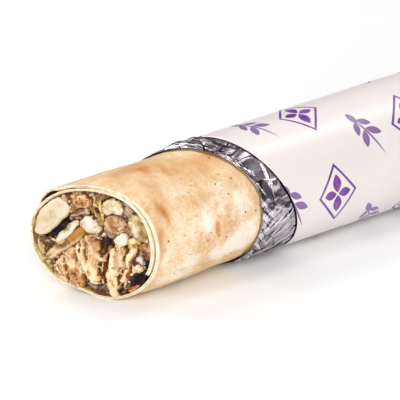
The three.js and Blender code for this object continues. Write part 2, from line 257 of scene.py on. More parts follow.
def colourSteps(tree, share, steps):
    node = addNode(tree, "ShaderNodeValToRGB", {0: share})
    ramp = node.color_ramp
    while len(ramp.elements) < len(steps):
        ramp.elements.new(1)
    for element, (at, colour) in zip(ramp.elements, steps):
        element.position = at
        element.color = ink(*colour)
    return node.outputs[0]


def readShare(tree, name):
    return addNode(tree, "ShaderNodeAttribute", attribute_name=name).outputs["Fac"]


def newMaterial(name, **constants):
    material = bpy.data.materials.new(name)
    material.use_nodes = True
    tree = material.node_tree
    shader = tree.nodes["Principled BSDF"]
    for key, value in constants.items():
        shader.inputs[key.replace("_", " ")].default_value = value
    return material, tree, shader


def finishMaterial(tree, shader, colour, roughness, height, bumpStrength, bumpDistance):
    tree.links.new(colour, shader.inputs["Base Color"])
    if roughness is not None:
        tree.links.new(roughness, shader.inputs["Roughness"])
    bump = addNode(tree, "ShaderNodeBump", {"Height": height, "Strength": bumpStrength,
                                            "Distance": bumpDistance})
    tree.links.new(bump.outputs[0], shader.inputs["Normal"])


def newGroup(name, inputs, outputs):  # an input without a number is a vector
    group = bpy.data.node_groups.new(name, "ShaderNodeTree")
    for label, value in inputs.items():
        kind = "NodeSocketVector" if value is None else "NodeSocketFloat"
        socket = group.interface.new_socket(label, in_out="INPUT", socket_type=kind)
        if value is not None:
            socket.default_value = value
    for label in outputs:
        group.interface.new_socket(label, in_out="OUTPUT", socket_type="NodeSocketFloat")
    return group, group.nodes.new("NodeGroupInput").outputs, group.nodes.new("NodeGroupOutput").inputs


def makeMottle():  # soft blotches with finer ones inside them
    group, given, result = newGroup("mottle", {"Vector": None, "Scale": 80.0, "Contrast": 1.0, "Grain": 0.3},
                                    ["Mask", "Fine"])
    broad = addNode(group, "ShaderNodeTexNoise", {"Vector": given["Vector"], "Scale": given["Scale"],
                                                  "Detail": 4.0, "Roughness": 0.55, "Distortion": 0.4})
    fine = addNode(group, "ShaderNodeTexNoise", {"Vector": given["Vector"], "Detail": 3.0,
                                                 "Scale": times(group, given["Scale"], 6.5)})
    spread = times(group, minus(group, broad.outputs[0], 0.5), given["Contrast"])
    grain = times(group, minus(group, fine.outputs[0], 0.5), given["Grain"])
    both = plus(group, spread, grain)
    group.links.new(calculate(group, "ADD", both, 0.5, clamp=True), result["Mask"])
    group.links.new(fine.outputs[0], result["Fine"])
    return group


def makeFlecks():  # small separate specks, some cells without one
    group, given, result = newGroup("flecks", {"Vector": None, "Scale": 250.0, "Size": 0.12, "Share": 0.3},
                                    ["Mask"])
    cells = addNode(group, "ShaderNodeTexVoronoi", {"Vector": given["Vector"], "Scale": given["Scale"]})
    draws = addNode(group, "ShaderNodeSeparateColor", {0: cells.outputs["Color"]})
    present = calculate(group, "LESS_THAN", draws.outputs[0], given["Share"])
    reach = times(group, calculate(group, "MULTIPLY_ADD", draws.outputs[1], 0.9, 0.4), given["Size"])
    near = minus(group, reach, cells.outputs["Distance"])
    edge = calculate(group, "DIVIDE", near, times(group, given["Size"], 0.4), clamp=True)
    group.links.new(times(group, edge, present), result["Mask"])
    return group


mottle = makeMottle()
flecks = makeFlecks()


def useGroup(tree, group, inputs):
    return addNode(tree, "ShaderNodeGroup", inputs, node_tree=group).outputs


def blotches(tree, scale, contrast, grain):
    place = addNode(tree, "ShaderNodeTexCoord").outputs["Object"]
    return useGroup(tree, mottle, {"Vector": place, "Scale": scale, "Contrast": contrast, "Grain": grain})


def specks(tree, scale, size, share):
    place = addNode(tree, "ShaderNodeTexCoord").outputs["Object"]
    return useGroup(tree, flecks, {"Vector": place, "Scale": scale, "Size": size, "Share": share})["Mask"]


# Flatbread

bread = {
    "thick": 1.2, "looseness": 0.25, "nearLooseness": 0.6, "turns": 1.49, "flapAngle": 150, "torn": 0.25,
    "end": 101, "straightBehind": 120,
    "flapEdge": 0.35, "thinTurns": 0.05,  # the flap thins towards its edge
    # It dips at its edge and is hollow behind that, by so many mm, most at and as far as so many degrees
    "hollow": 1.3, "hollowPeak": 18, "hollowTo": 30, "dip": 0.35, "dipTo": 8,
    "sinkFrom": 0.93, "sinkTo": 1.05,  # turns in which the sheet sinks under the flap
    "looseAt": 5, "looseWide": 55,  # rolled more loosely about this angle
    "stations": 600,  # points round the spiral
    "shownLength": 66, "shownStep": 0.5,  # fine rings behind the cut, as far as the foil
    "splitDepth": 0.55, "leaves": 0.14,  # the cut edge opens into two thin leaves, rounded by so much
    "puff": 0.3, "grain": 0.05,  # soft swellings of the outer face, coarse and fine
    "lip": 0.16, "lipTo": 2.5,  # its wavy edge, which fades behind the cut
    "hiddenRings": [70, 80, 95, 115, 140, 165],  # mm behind the cut, under foil and paper
    "innerRings": [0.15, 0.8, 2, 4, 7, 12, 20, 40, 80, 140],
    "rimRings": [0.06, 0.2, 0.36, 0.44, 0.5, 0.56, 0.64, 0.8, 0.94],  # shares of the way through the sheet
    "oilAt": (122, 40), "sauceAt": (205, 60),  # angle and width of what has soaked into the cut edge
    # Painted shade under the flap: turns in where the sheet lies under it and over it. Painted shadow beside
    # the foil, in mm
    "flapShadow": {"angle": 131, "wide": 10, "reach": (14, 4), "under": (0.9, 1.12), "over": 0.12},
    "foilShadow": {"offset": 0.1, "wide": 0.45, "tone": 0.75, "goneAt": 150, "goneOver": 32},
    # Colours from deep to pale: of the outer face, of the torn edge, of the oily inside
    "skin": [(0.08, (218, 170, 116)), (0.36, (234, 197, 150)), (0.62, (242, 212, 171)),
             (0.92, (251, 233, 205))],
    "crumb": [(0.3, (232, 210, 174)), (0.5, (248, 234, 206)), (0.7, (253, 246, 228))],
    "oily": [(0.2, (112, 78, 28)), (0.42, (168, 128, 62)), (0.6, (206, 172, 104)), (0.85, (232, 208, 154))],
}
# Places on the outer face: angle, x, half width around in mm, half length in mm, strength
toastSpots = [
    # The spots on top are browned, and also keep the top darker as painted shade
    (97, -75, 7, 12, 0.5), (85, -63, 6, 11, 0.6), (73, -52, 6, 10, 0.5), (76, -35, 6, 5, 0.75),
    (112, -60, 8, 14, 0.4), (62, -73, 7, 5, 0.4), (64, -44, 7, 7, 0.35), (56, -60, 6, 5, 0.3),
    (42, -74.5, 2.5, 0.9, 0.8), (36, -73, 2.5, 1.0, 1.0), (29, -71.5, 2.5, 0.9, 0.8),  # orange streak
    (40, -73, 8, 4, 0.5), (18, -77.5, 7, 2.6, 0.65), (-4, -79, 5, 3, 0.35),
    (6, -47.5, 3, 1.3, 0.55), (2, -47, 5, 2.2, 0.3),  # small brown oval
    # The first spot, low on the near side, darkens the underside as painted shade
    (-54, -62, 5, 18, 0.6), (-6, -56, 4, 3, 0.25), (-28, -50, 3, 8, 0.2), (-34, -36, 3, 5, 0.4),
    (150, -60, 8, 14, 0.6), (200, -50, 9, 12, 0.6), (250, -75, 7, 12, 0.5),
]
flourySpots = [
    (14, -54, 6, 4, 0.9), (-18, -62, 6, 6, 0.8), (30, -44, 7, 8, 0.6), (44, -38, 5, 6, 0.2),
    (-14, -34, 9, 7, 0.9), (-36, -70, 5, 12, 0.6), (-22, -44, 7, 9, 0.7), (-8, -74, 6, 5, 0.6),
    (10, -66, 5, 5, 0.4), (20, -32, 9, 6, 0.45), (105, -62, 6, 9, 0.3), (180, -66, 9, 9, 0.6),
    (230, -60, 8, 10, 0.5),
]
foil = {
    "thick": 0.35, "end": 101.3, "edgeX": -24, "edgeReach": 16, "edgeTurn": 8, "hem": 0.35,
    "sides": 640, "rings": 88,
    "relief": 1.35, "flush": 0.16,  # height of the folds, and what is left of them at the paper's edge
    # Folds, coarse to fine: size in mm, steepness, number of layers, how far they turn, lean off the
    # roll's line. Crinkles are where it is bunched next to the bread, streaks low on the near side.
    "folds": [(16, 0.2, 2, 0.9, 0), (9, 0.24, 2, 1.4, 0), (4.4, 0.2, 2, 1.4, 0)],
    "crinkles": [(3.2, 0.42, 2, 0.45, 1.1), (1.7, 0.34, 1, 0.5, 0.9), (1.0, 0.34, 1, 0.6, 1.2)],
    "streaks": [(6, 0.3, 2, 0.25, -0.6), (2.8, 0.3, 2, 0.25, -0.6), (1.4, 0.2, 1, 0.2, -0.5)],
    "lineWidth": 0.2,
    "seam": (200, 214),  # degrees on the far side over which the pattern closes on itself
    "underPaper": 3, "hiddenX": [10, 50],  # mm that its folds go on under the paper, and plain rings there
    "bunch": 1.1, "bunchAngle": 100, "bunchWidth": 26,  # it stands up in a crumpled bunch at the top
    "closeAngle": 155, "closeWidth": 34, "close": 0.9,  # and lies close on the far side
    # Painted light and reflection: greyer or brighter round the roll, at an angle, by, how wide. Grey on top,
    # where it faces the light
    "tones": [(85, -0.6, 42), (-20, 0.35, 30), (36, 0.5, 20), (150, 1.6, 30)],
    # Colours from dark to bright, which carry the painted light and shade of the facets and folds
    "colours": [(0.04, (30, 26, 29)), (0.27, (138, 129, 137)), (0.52, (190, 181, 189)),
                (0.85, (248, 245, 249))],
}
paper = {
    "thick": 0.35, "edgeX": -17.5, "edgeAcross": 10.5, "edgeUp": -8.5, "seamAngle": 215, "seamWidth": 24,
    "shoulder": 102.6, "face": 107.4, "centre": 106.2, "pleats": 12, "pleatDepth": 0.7, "pleatLean": 16,
    "rounding": 2.4, "slack": 0.22, "lining": 0.45, "sides": 288, "rings": 90,
    # Rings of the folded end, as shares of the radius
    "endRings": [0.985, 0.955, 0.9, 0.82, 0.72, 0.6, 0.48, 0.36, 0.24, 0.14, 0.05, 0.004],
}


def breadPitch(angle):
    near = bellAround(angle, bread["looseAt"], bread["looseWide"])
    return bread["thick"] + bread["looseness"] + bread["nearLooseness"] * near


def breadDepth(angle, turnsIn):
    return breadPitch(angle) * smooth(bread["sinkFrom"], bread["sinkTo"], turnsIn)


def breadLine(turnsIn, stop, through, forward=0.0, swell=0.0):
    past = 360 * turnsIn
    angle = bread["flapAngle"] - past
    hollow = bread["hollow"] * smooth(0, bread["hollowPeak"], past)
    hollow = hollow * (1 - smooth(bread["hollowPeak"], bread["hollowTo"], past))
    hollow = hollow - bread["dip"] * (1 - smooth(0, bread["dipTo"], past))
    thick = bread["flapEdge"] + (bread["thick"] - bread["flapEdge"]) * smooth(0, bread["thinTurns"], turnsIn)
    slantLeft = slantTan * (1 - smooth(roll["cutX"], roll["cutX"] + bread["straightBehind"], stop))
    slide = np.cos(np.radians(angle)) * slantLeft
    near = stop + roll["radius"] * slide
    depth = breadDepth(angle, turnsIn) + through * thick - hollow * bareness(near)
    x = stop + (rollSurface(angle, near) - depth) * slide
    outside = rollSurface(angle, x)
    return rollPoint(angle, outside - depth + swell, x - forward, outside)


def spotShare(spots, angle, x):
    total = 0
    for at, along, wide, long, strength in spots:
        across = np.radians(angleBetween(angle, at)) * roll["radius"]
        total = total + strength * np.exp(-(across / wide) ** 2 - ((x - along) / long) ** 2)
    return total


def makeBread():
    turnsIn = np.linspace(0, bread["turns"], bread["stations"])[:, None]
    angle = bread["flapAngle"] - 360 * turnsIn
    arc = np.radians(angle) * roll["radius"]
    shown = np.arange(0, bread["shownLength"], bread["shownStep"])
    outerStops = roll["cutX"] + np.concatenate([shown, bread["hiddenRings"]])
    outerStops = np.append(outerStops, bread["end"])[None, :]
    behind = outerStops - roll["cutX"]
    place = flatPoints(arc / 15, outerStops / 15, turnsIn * 3)
    swell = bread["puff"] * layeredNoise(place, 3) + bread["grain"] * softNoise(place * 9, 8)
    lip = softNoise(flatPoints(arc / 2.2, behind / 4, turnsIn * 3), 12) * np.exp(-behind / bread["lipTo"])
    outer = breadLine(turnsIn, outerStops, 0.0, swell=swell * smooth(0, 3, behind) + bread["lip"] * lip)
    # The cut edge: two leaves with a split between them
    through = np.array(bread["rimRings"])[None, :]
    split = bell(through - 0.5, 0.1) * smooth(-0.5, 0.3, softNoise(flatPoints(arc / 9, turnsIn * 3, 4), 5))
    leaf = np.sin(through * 2 % 1 * np.pi) * bread["leaves"]
    ragged = bread["torn"] * softNoise(flatPoints(arc / 1.4, through * 5, turnsIn), 6)
    rimForward = leaf + ragged * 0.8 - split * bread["splitDepth"]
    rimSwell = 0.12 * softNoise(flatPoints(arc / 2.2, 0, turnsIn * 3), 12)
    rim = breadLine(turnsIn, roll["cutX"] + 0 * through, through, forward=rimForward, swell=rimSwell)
    innerStops = np.minimum(roll["cutX"] + np.array(bread["innerRings"])[None, :], bread["end"])
    inner = breadLine(turnsIn, innerStops, 1.0)
    innerEnd = breadLine(turnsIn, np.full((1, 1), float(bread["end"])), 1.0)
    points = np.concatenate([outer[:, ::-1], rim, inner, innerEnd], axis=1)
    counts = [outer.shape[1], rim.shape[1], inner.shape[1] + 1]
    faces = gridFaces(*points.shape[:2]) + endCaps(*points.shape[:2])
    shares = breadShares(points, turnsIn, angle, counts)
    piece = addPiece("breadSheet", points, faces, ["flatbread"], shares=shares)
    piece.data.materials.append(makeBreadMaterial())


def breadShares(points, turnsIn, angle, counts):  # counts: rings of the outer face, the rim, the inner face
    rimFrom, rimTo = counts[0], counts[0] + counts[1]
    x = points[..., 0]
    none = np.zeros(x.shape)
    rim = np.repeat([0.0, 1.0, 0.0], counts) + none
    rim[:, rimFrom - 2:rimFrom] = [0.4, 0.9]
    rim[:, rimTo] = 0.9
    through = np.concatenate([np.zeros(counts[0]), bread["rimRings"], np.ones(counts[2])])
    uneven = 1 + 0.35 * layeredNoise(flatPoints(angle / 14, x / 4, 1), 44)
    toast = spotShare(toastSpots, angle, x) * uneven
    toast[:, rimFrom:] = 0
    # Painted shade under the free flap, near the cut, and painted shadow where the foil lies on the sheet
    flap, edge = bread["flapShadow"], bread["foilShadow"]
    nearCut = smooth(*flap["reach"], x - x[:, rimFrom:rimFrom + 1])
    dark = bellAround(angle, flap["angle"], flap["wide"]) * nearCut
    dark[:, :rimFrom - 2] *= (turnsIn > flap["under"][0]) & (turnsIn < flap["under"][1])
    dark[:, rimFrom - 2:rimTo] = 0
    dark[:, rimTo:] *= turnsIn < flap["over"]
    atFoil = bell(x[:, :rimFrom] - foilEdge(angle) - edge["offset"], edge["wide"]) * (turnsIn < 1.05)
    atFoil = atFoil * (1 - bellAround(angle, edge["goneAt"], edge["goneOver"]))
    dark[:, :rimFrom] = np.maximum(dark[:, :rimFrom], edge["tone"] * atFoil)
    return {"rim": rim, "inside": np.repeat([0.0, 0.0, 1.0], counts) + none, "through": through + none,
            "toast": toast, "floury": spotShare(flourySpots, angle, x) * uneven, "dark": dark,
            "oil": bellAround(angle, *bread["oilAt"]) + none,
            "sauce": bellAround(angle, *bread["sauceAt"]) + none}


def makeBreadMaterial():
    material, tree, shader = newMaterial("toasted flatbread", Roughness=0.6, Subsurface_Weight=0.12,
                                         Subsurface_Scale=0.0015)
    shader.inputs["Subsurface Radius"].default_value = (1.0, 0.6, 0.35)
    broad = blotches(tree, 70.0, 2.0, 0.8)
    patches = blotches(tree, 170.0, 2.2, 0.9)
    pores = specks(tree, 270.0, 0.11, 0.8)
    ragged = plus(tree, patches["Mask"], 0.45)
    pale = times(tree, readShare(tree, "floury"), ragged)
    toast = times(tree, readShare(tree, "toast"), ragged)
    scorched = times(tree, toast, plus(tree, broad["Fine"], 0.5))
    skin = colourSteps(tree, broad["Mask"], bread["skin"])
    for share, strength, colour in (
            (stepUp(tree, patches["Mask"], 0.48, 0.12), 0.42, (228, 182, 122)),
            (stepUp(tree, patches["Mask"], 0.55, 0.85), 0.4, (253, 236, 208)),
            (stepUp(tree, patches["Fine"], 0.52, 0.3), 0.35, (214, 164, 108)),
            (stepUp(tree, pale, 0.1, 0.85), None, (253, 241, 222)),
            (stepUp(tree, toast, 0.05, 0.8), None, (216, 168, 116)),
            (stepUp(tree, scorched, 0.45, 1.5), None, (208, 128, 48)),
            (specks(tree, 420.0, 0.13, 0.3), 0.4, (202, 152, 100)),
            (pores, None, (62, 42, 30))):
        skin = paint(tree, skin, colour, share, strength)
    # The cut edge: a dark line of painted shade in the split between its two leaves, and fat and sauce from
    # the filling
    crumb = colourSteps(tree, broad["Fine"], bread["crumb"])
    through = readShare(tree, "through")
    oil = readShare(tree, "oil")
    fromMiddle = calculate(tree, "ABSOLUTE", minus(tree, through, 0.5))
    crumb = mixColours(tree, stepUp(tree, fromMiddle, 0.0, 0.1), ink(164, 132, 96), crumb)
    greasy = times(tree, times(tree, stepUp(tree, through, 0.5, 0.95), oil), patches["Mask"])
    greasy = calculate(tree, "MULTIPLY", greasy, 1.5, clamp=True)
    smeared = times(tree, readShare(tree, "sauce"), stepUp(tree, patches["Mask"], 0.25, 0.6))
    smeared = times(tree, smeared, stepUp(tree, through, 0.35, 0.75))
    crumb = paint(tree, paint(tree, crumb, (196, 124, 40), greasy), (168, 142, 84), smeared)
    orange = times(tree, oil, stepUp(tree, broad["Mask"], 0.2, 0.55))
    oily = paint(tree, colourSteps(tree, patches["Mask"], bread["oily"]), (206, 132, 42), orange)
    colour = mixColours(tree, readShare(tree, "rim"), skin, crumb)
    colour = mixColours(tree, readShare(tree, "inside"), colour, oily)
    # Painted shade under the flap and painted shadow beside the foil
    colour = paint(tree, colour, (26, 15, 12), readShare(tree, "dark"))
    height = calculate(tree, "MULTIPLY_ADD", pores, -0.8, broad["Fine"])
    roughness = calculate(tree, "MULTIPLY_ADD", readShare(tree, "inside"), -0.3, 0.6)
    finishMaterial(tree, shader, colour, roughness, height, 0.35, 0.00025)
    return material


# Foil

def foilEdge(angle):
    turn = np.radians(angle)
    reach = foil["edgeReach"] + 4 * np.sin(turn)
    uneven = 0.5 * wave(turn * 3, 0, 3) + 0.25 * wave(turn * 9, 0, 8)
    return foil["edgeX"] - reach * (1 - np.cos(np.radians(angle - foil["edgeTurn"]))) + uneven


def paperEdge(angle):
    turn = np.radians(angle)
    return paper["edgeX"] + paper["edgeAcross"] * np.cos(turn) + paper["edgeUp"] * np.sin(turn)


def foldedLayers(around, along, layers, seed):  # flat facets that meet in sharp folds
    draw = np.random.default_rng(seed)
    height, tone, line = 0, 0, 0
    for size, steep, count, swing, lean in layers:
        warp = flatPoints(around, along * 0.6, 0) / (size * 2.6)
        for _ in range(count):
            heading = lean + draw.uniform(-swing, swing)
            length = size * draw.uniform(0.75, 1.3)
            shift = 0.45 * softNoise(warp, int(draw.integers(1000)))
            travel = (around * math.cos(heading) + along * math.sin(heading)) / length
            step = (travel + shift + draw.uniform()) % 1
            fromValley = np.abs(step - 0.5)
            height = height + steep * length * (fromValley - 0.25)
            # Painted light: the facet on one side of each fold lighter, on the other greyer
            tone = tone + steep * np.clip((step - 0.5) * length * 3, -1, 1)
            # Painted highlight along each ridge, painted shade along each valley
            valley = bell(fromValley * length, foil["lineWidth"])
            ridge = bell((0.5 - fromValley) * length, foil["lineWidth"])
            line = line + steep * (ridge - valley)
    return np.stack([height, tone, line])


# The shards' size and the area that they fill round and along the roll, in mm, then shares of their size,
# their pleats in mm, how steep they are tilted, and the share of them with a dark outline of painted shade
# rather than a light one of painted highlight
shards = {
    "size": 8.5, "around": (-84, 128), "along": (-64, 4), "jitter": 0.45, "bent": 0.3, "rounded": 0.18,
    "pleat": 0.8, "pleatLength": 9, "pleatHeight": 0.1, "tilt": (0.06, 0.24), "dark": 0.65,
}


def foilShards(around, along, seed):  # flat shards, each tilted and pleated its own way
    draw = np.random.default_rng(seed)
    size = shards["size"]
    bend = flatPoints(around, along, 0) / (size * 1.4)
    across = around + shards["bent"] * size * softNoise(bend, seed)
    down = along + shards["bent"] * size * softNoise(bend, seed + 1)
    middles = [(a, b) for a in np.arange(*shards["around"], size) for b in np.arange(*shards["along"], size)]
    jitter = draw.uniform(-shards["jitter"], shards["jitter"], (len(middles), 2))
    middles = np.array(middles) + jitter * size
    nearest, second = np.full(around.shape, 1e6), np.full(around.shape, 1e6)
    owner = np.zeros(around.shape, int)
    for number, (a, b) in enumerate(middles):
        distance = np.hypot(across - a, (down - b) * 0.8)  # a little longer along the roll
        closer = distance < nearest
        second = np.where(closer, nearest, np.minimum(second, distance))
        nearest = np.where(closer, distance, nearest)
        owner[closer] = number
    heading = draw.uniform(0, 2 * np.pi, len(middles))[owner]
    right, up = across - middles[owner, 0], down - middles[owner, 1]
    fromMiddle = right * np.cos(heading) + up * np.sin(heading)
    alongPleat = up * np.cos(heading) - right * np.sin(heading)
    curved = fromMiddle + 0.5 / size * alongPleat ** 2
    place = flatPoints(curved / shards["pleat"], alongPleat / shards["pleatLength"], owner * 7.3)
    pleats = softNoise(place, seed + 2)
    inside = smooth(0, shards["rounded"] * size, second - nearest)
    # Painted reflection: every shard gets its own brighter or greyer tone. Its outline is painted shade where
    # dark and painted highlight where light
    tone = draw.uniform(-1, 1, len(middles))[owner]
    darkOrLight = draw.choice([-1.0, 1.0], len(middles), p=[shards["dark"], 1 - shards["dark"]])[owner]
    outline = bell(second - nearest, foil["lineWidth"] * 1.6) * darkOrLight
    tilt = draw.uniform(*shards["tilt"], len(middles))[owner]
    height = tilt * fromMiddle * inside + shards["pleatHeight"] * pleats
    return np.stack([height, 0.5 * tone + 0.45 * pleats, outline])


def foilFolds(around, along, across):  # height in mm, then two shares for the colour: painted light on the facets, and painted highlight and shade along the fold lines
    facets = 0.6 * foldedLayers(around, along, foil["folds"], 7)
    facets = facets + foilShards(around, along, 31)
    crinkles = foldedLayers(around, along, foil["crinkles"], 19)
    streaks = foldedLayers(around, along, foil["streaks"], 23)
    patch = softNoise(flatPoints(around / 9, along / 9, 0), 71)
    turned = (around / roll["radius"] + math.pi) % (2 * math.pi) - math.pi
    atTop = bell(turned - math.radians(foil["bunchAngle"]), 0.4) * smooth(0.85, 0.5, across)
    bunched = np.maximum(smooth(0.32, 0.08, across + 0.16 * patch), atTop)
    low = smooth(math.radians(14), math.radians(-10), turned) * smooth(-2.1, -1.2, turned)
    return facets * (1 - 0.5 * low) + crinkles * bunched + streaks * low * (1 - 0.5 * bunched)


def foilLift(folds, angle, x, across):  # how far the foil stands off the bread
    facets = 0.5 + 0.5 * np.tanh((folds - folds.mean()) / foil["relief"] * 1.5)  # nowhere cut off flat
    facets = facets * (0.35 + 0.65 * smooth(0, 0.14, across))
    hem = foil["hem"] * bell(across, 0.05) * (1 + 0.5 * softNoise(flatPoints(angle / 6, 0, 0), 4))
    underPaper = smooth(0.86, 0.66, across) * (1 - foil["flush"]) + foil["flush"]
    pressed = smooth(-0.97, -0.8, np.sin(np.radians(angle)))
    bunch = foil["bunch"] * bellAround(angle, foil["bunchAngle"], foil["bunchWidth"])
    bunch = bunch * smooth(0, 0.2, across)
    bulges = softNoise(flatPoints(np.radians(angle) * roll["radius"] / 5, x / 6, 0), 57)
    bunch = bunch * (0.7 + 1.3 * bulges).clip(0)
    atFarSide = bellAround(angle, foil["closeAngle"], foil["closeWidth"]) * smooth(0.6, 0.2, across)
    lift = foil["relief"] * facets * underPaper + hem + bunch * underPaper
    return lift * pressed * (1 - foil["close"] * atFarSide) + roll["gap"]


def makeFoil():
    angle = np.linspace(0, 360, foil["sides"], endpoint=False)[None, :]
    across = np.linspace(0, 1, foil["rings"])[:, None]
    x = foilEdge(angle) + (paperEdge(angle) + foil["underPaper"] - foilEdge(angle)) * across
    around = np.radians(angle) * roll["radius"] * np.ones_like(x)
    seamBlend = smooth(*foil["seam"], angle)
    wholeTurn = 2 * math.pi * roll["radius"]
    folds = foilFolds(around, x, across) * (1 - seamBlend)
    folds = folds + foilFolds(around - wholeTurn, x, across) * seamBlend
    lift = foilLift(folds[0], angle, x, across)
    outside = rollSurface(angle, x)
    shown = rollPoint(angle, outside + lift + foil["thick"], x, outside)
    hiddenX = np.array([*foil["hiddenX"], foil["end"]])[:, None] + 0 * angle
    hiddenOutside = rollSurface(angle, hiddenX)
    hidden = rollPoint(angle, hiddenOutside + roll["gap"] + foil["thick"], hiddenX, hiddenOutside)
    back = rollPoint(angle, hiddenOutside + roll["gap"], hiddenX, hiddenOutside)[::-1]
    innerRows = np.arange(foil["rings"] - 1, -1, -3)
    innerLift = np.maximum(lift[innerRows], roll["gap"]) + foil["thick"] * 0.4 * (across[innerRows] < 0.85)
    inner = rollPoint(angle, outside[innerRows] + innerLift, x[innerRows], outside[innerRows])
    points = np.concatenate([shown, hidden, back, inner])
    # Painted light and reflection round the roll
    for at, by, width in foil["tones"]:
        folds[1] = folds[1] + by * bellAround(angle, at, width)
    folds[2] = folds[2] - 2 * bell(x - paperEdge(angle) + 0.3, 0.4)  # painted shadow where it goes in under the paper
    plain = np.zeros((points.shape[0] - foil["rings"], points.shape[1]))
    shares = {"facet": np.concatenate([folds[1], plain]), "line": np.concatenate([folds[2], plain])}
    faces = gridFaces(*points.shape[:2], joinRows=True)
    piece = addPiece("foilSleeve", points, faces, ["foil"], shares=shares)
    piece.data.materials.append(makeFoilMaterial())


def makeFoilMaterial():
    material, tree, shader = newMaterial("crumpled foil", Metallic=1.0)
    tarnish = blotches(tree, 90.0, 1.2, 0.4)
    # Painted light: facets lighter and greyer, fold lines with painted highlights and shade, over darker and
    # lighter blotches
    facet = calculate(tree, "MULTIPLY_ADD", readShare(tree, "facet"), 0.24, 0.26)
    tone = calculate(tree, "MULTIPLY_ADD", tarnish["Mask"], 0.4, facet)
    fold = calculate(tree, "MULTIPLY_ADD", readShare(tree, "line"), 0.8, tone)
    rubbed = calculate(tree, "MULTIPLY_ADD", tarnish["Fine"], 0.14, 0.22)
    colour = colourSteps(tree, fold, foil["colours"])
    finishMaterial(tree, shader, colour, rubbed, tarnish["Fine"], 0.4, 0.00014)
    return material


# Paper

def paperOverlap(angle):  # 1 where the glued overlap lies
    before = angleBetween(paper["seamAngle"], angle)
    lies = (before >= 0) & (before <= paper["seamWidth"])
    return np.where(lies, smooth(0, 1.5, paper["seamWidth"] - before), 0)


def paperEnd(angle, inside):  # the folded end: pleats lean over each other towards the middle
    scale = np.array(paper["endRings"])[:, None]
    leaning = (angle + paper["pleatLean"] * (1 - scale)) / 360 * paper["pleats"] % 1
    ridge = np.where(leaning < 0.86, leaning / 0.86, (1 - leaning) / 0.14)
    depth = paper["pleatDepth"] * ridge * smooth(0.99, 0.8, scale) * smooth(0, 0.15, scale)
    dome = paper["face"] - (paper["face"] - paper["centre"]) * smooth(0.75, 0, scale)
    endX = dome - paper["rounding"] * smooth(0.82, 0.99, scale) ** 2 - depth
    rim = rollPoint(angle, roll["radius"] + inside + paper["thick"], endX, roll["radius"])
    middle = roll["axisLift"] + breadUnderside(endX)
    return flatPoints(endX, rim[..., 1] * scale, middle + (rim[..., 2] - middle) * scale)


def paperUv(x, rows, columns):  # places on the flat sheet, for the print
    u = np.linspace(0, 2 * math.pi * roll["radius"], columns + 1)[None, :] + np.zeros((rows, 1))
    closedX = np.concatenate([x, x[:, :1]], axis=1)
    folded = (1 - np.array(paper["endRings"])[:, None]) * roll["radius"]
    past = paper["shoulder"] + folded + np.zeros((1, columns + 1))
    uv = gridUv(u, np.concatenate([closedX[::-1], closedX, past]))
    return np.concatenate([uv, np.zeros((2 * columns, 2))]) / printed["uvUnit"]


def makePaper():
    angle = np.linspace(0, 360, paper["sides"], endpoint=False)[None, :]
    turn = np.radians(angle)
    along = np.linspace(0, 1, paper["rings"])[:, None]
    x = paperEdge(angle) + (paper["shoulder"] - paperEdge(angle)) * along
    outside = rollSurface(angle, x)
    ease = smooth(0, 0.06, along) * smooth(-0.97, -0.6, np.sin(turn))
    place = flatPoints(30 * np.cos(turn) / 26, 30 * np.sin(turn) / 26, x / 60)
    slack = paper["slack"] * layeredNoise(place, 21) * ease
    inside = foil["thick"] + 2 * roll["gap"]
    thickness = paper["thick"] * (1 + paperOverlap(angle))
    wall = rollPoint(angle, outside + inside + thickness + slack, x, outside)
    innerThick = paper["thick"] * paper["lining"]  # the sheet itself is thin: the lining lies close to it
    lining = rollPoint(angle, outside + inside + innerThick + slack, x, outside)[::-1]
    points = np.concatenate([lining, wall, paperEnd(angle, inside)])
    rows, columns = points.shape[:2]
    faces = gridFaces(rows, columns) + endCaps(rows, columns)
    piece = addPiece("paperSleeve", points, faces, ["paper"], loopUv=paperUv(x, rows, columns))
    piece.data.materials.append(makePaperMaterial())


# The print, in mm: motifs stand in staggered rows. Every leaf: across, along, turn in degrees, half
# its length, half its width
printed = {
    "rows": 46, "columns": 4, "lastRow": 98,
    "uvUnit": 100,  # mm of the flat sheet in one unit of its UV
    "lozenge": (12.5, 9.5), "outline": 0.085, "tilt": 25,
    "violet": [(0.35, (98, 46, 138)), (0.65, (136, 78, 166))], "sprigColour": (124, 84, 154),
    "medallion": [(4.5, 0, 0, 4, 2.2), (-4.5, 0, 0, 4, 2.2), (0, 3.7, 90, 3.2, 2), (0, -3.7, 90, 3.2, 2)],
    "sprig": [(-1, 0, 0, 11, 0.5), (9, 0, 0, 3.4, 1.6), (4.4, 2.7, 38, 3.5, 1.5), (4.4, -2.7, -38, 3.5, 1.5),
              (-1.2, 3, 38, 3.9, 1.7), (-1.2, -3, -38, 3.9, 1.7)],
}


def turnFlat(tree, place, angle):
    node = addNode(tree, "ShaderNodeVectorRotate", {"Vector": place, "Angle": angle}, rotation_type="Z_AXIS")
    return node.outputs[0]


def makeLeafShape():  # a pointed leaf: 1 inside, 0 outside
    group, given, result = newGroup("leaf shape", {"Vector": None, "Centre": None, "Turn": 0.0,
                                                   "Length": 3.0, "Width": 1.0}, ["Mask"])
    shifted = calculateVector(group, "SUBTRACT", given["Vector"], given["Centre"])
    turned = turnFlat(group, shifted, given["Turn"])
    parts = addNode(group, "ShaderNodeSeparateXYZ", {0: turned}).outputs
    share = calculate(group, "DIVIDE", parts[0], given["Length"])
    narrowing = minus(group, 1.0, times(group, share, share))
    reach = times(group, given["Width"], narrowing)
    inside = minus(group, reach, calculate(group, "ABSOLUTE", parts[1]))
    group.links.new(stepUp(group, inside, -0.06, 0.06), result["Mask"])
    return group


leafShape = makeLeafShape()


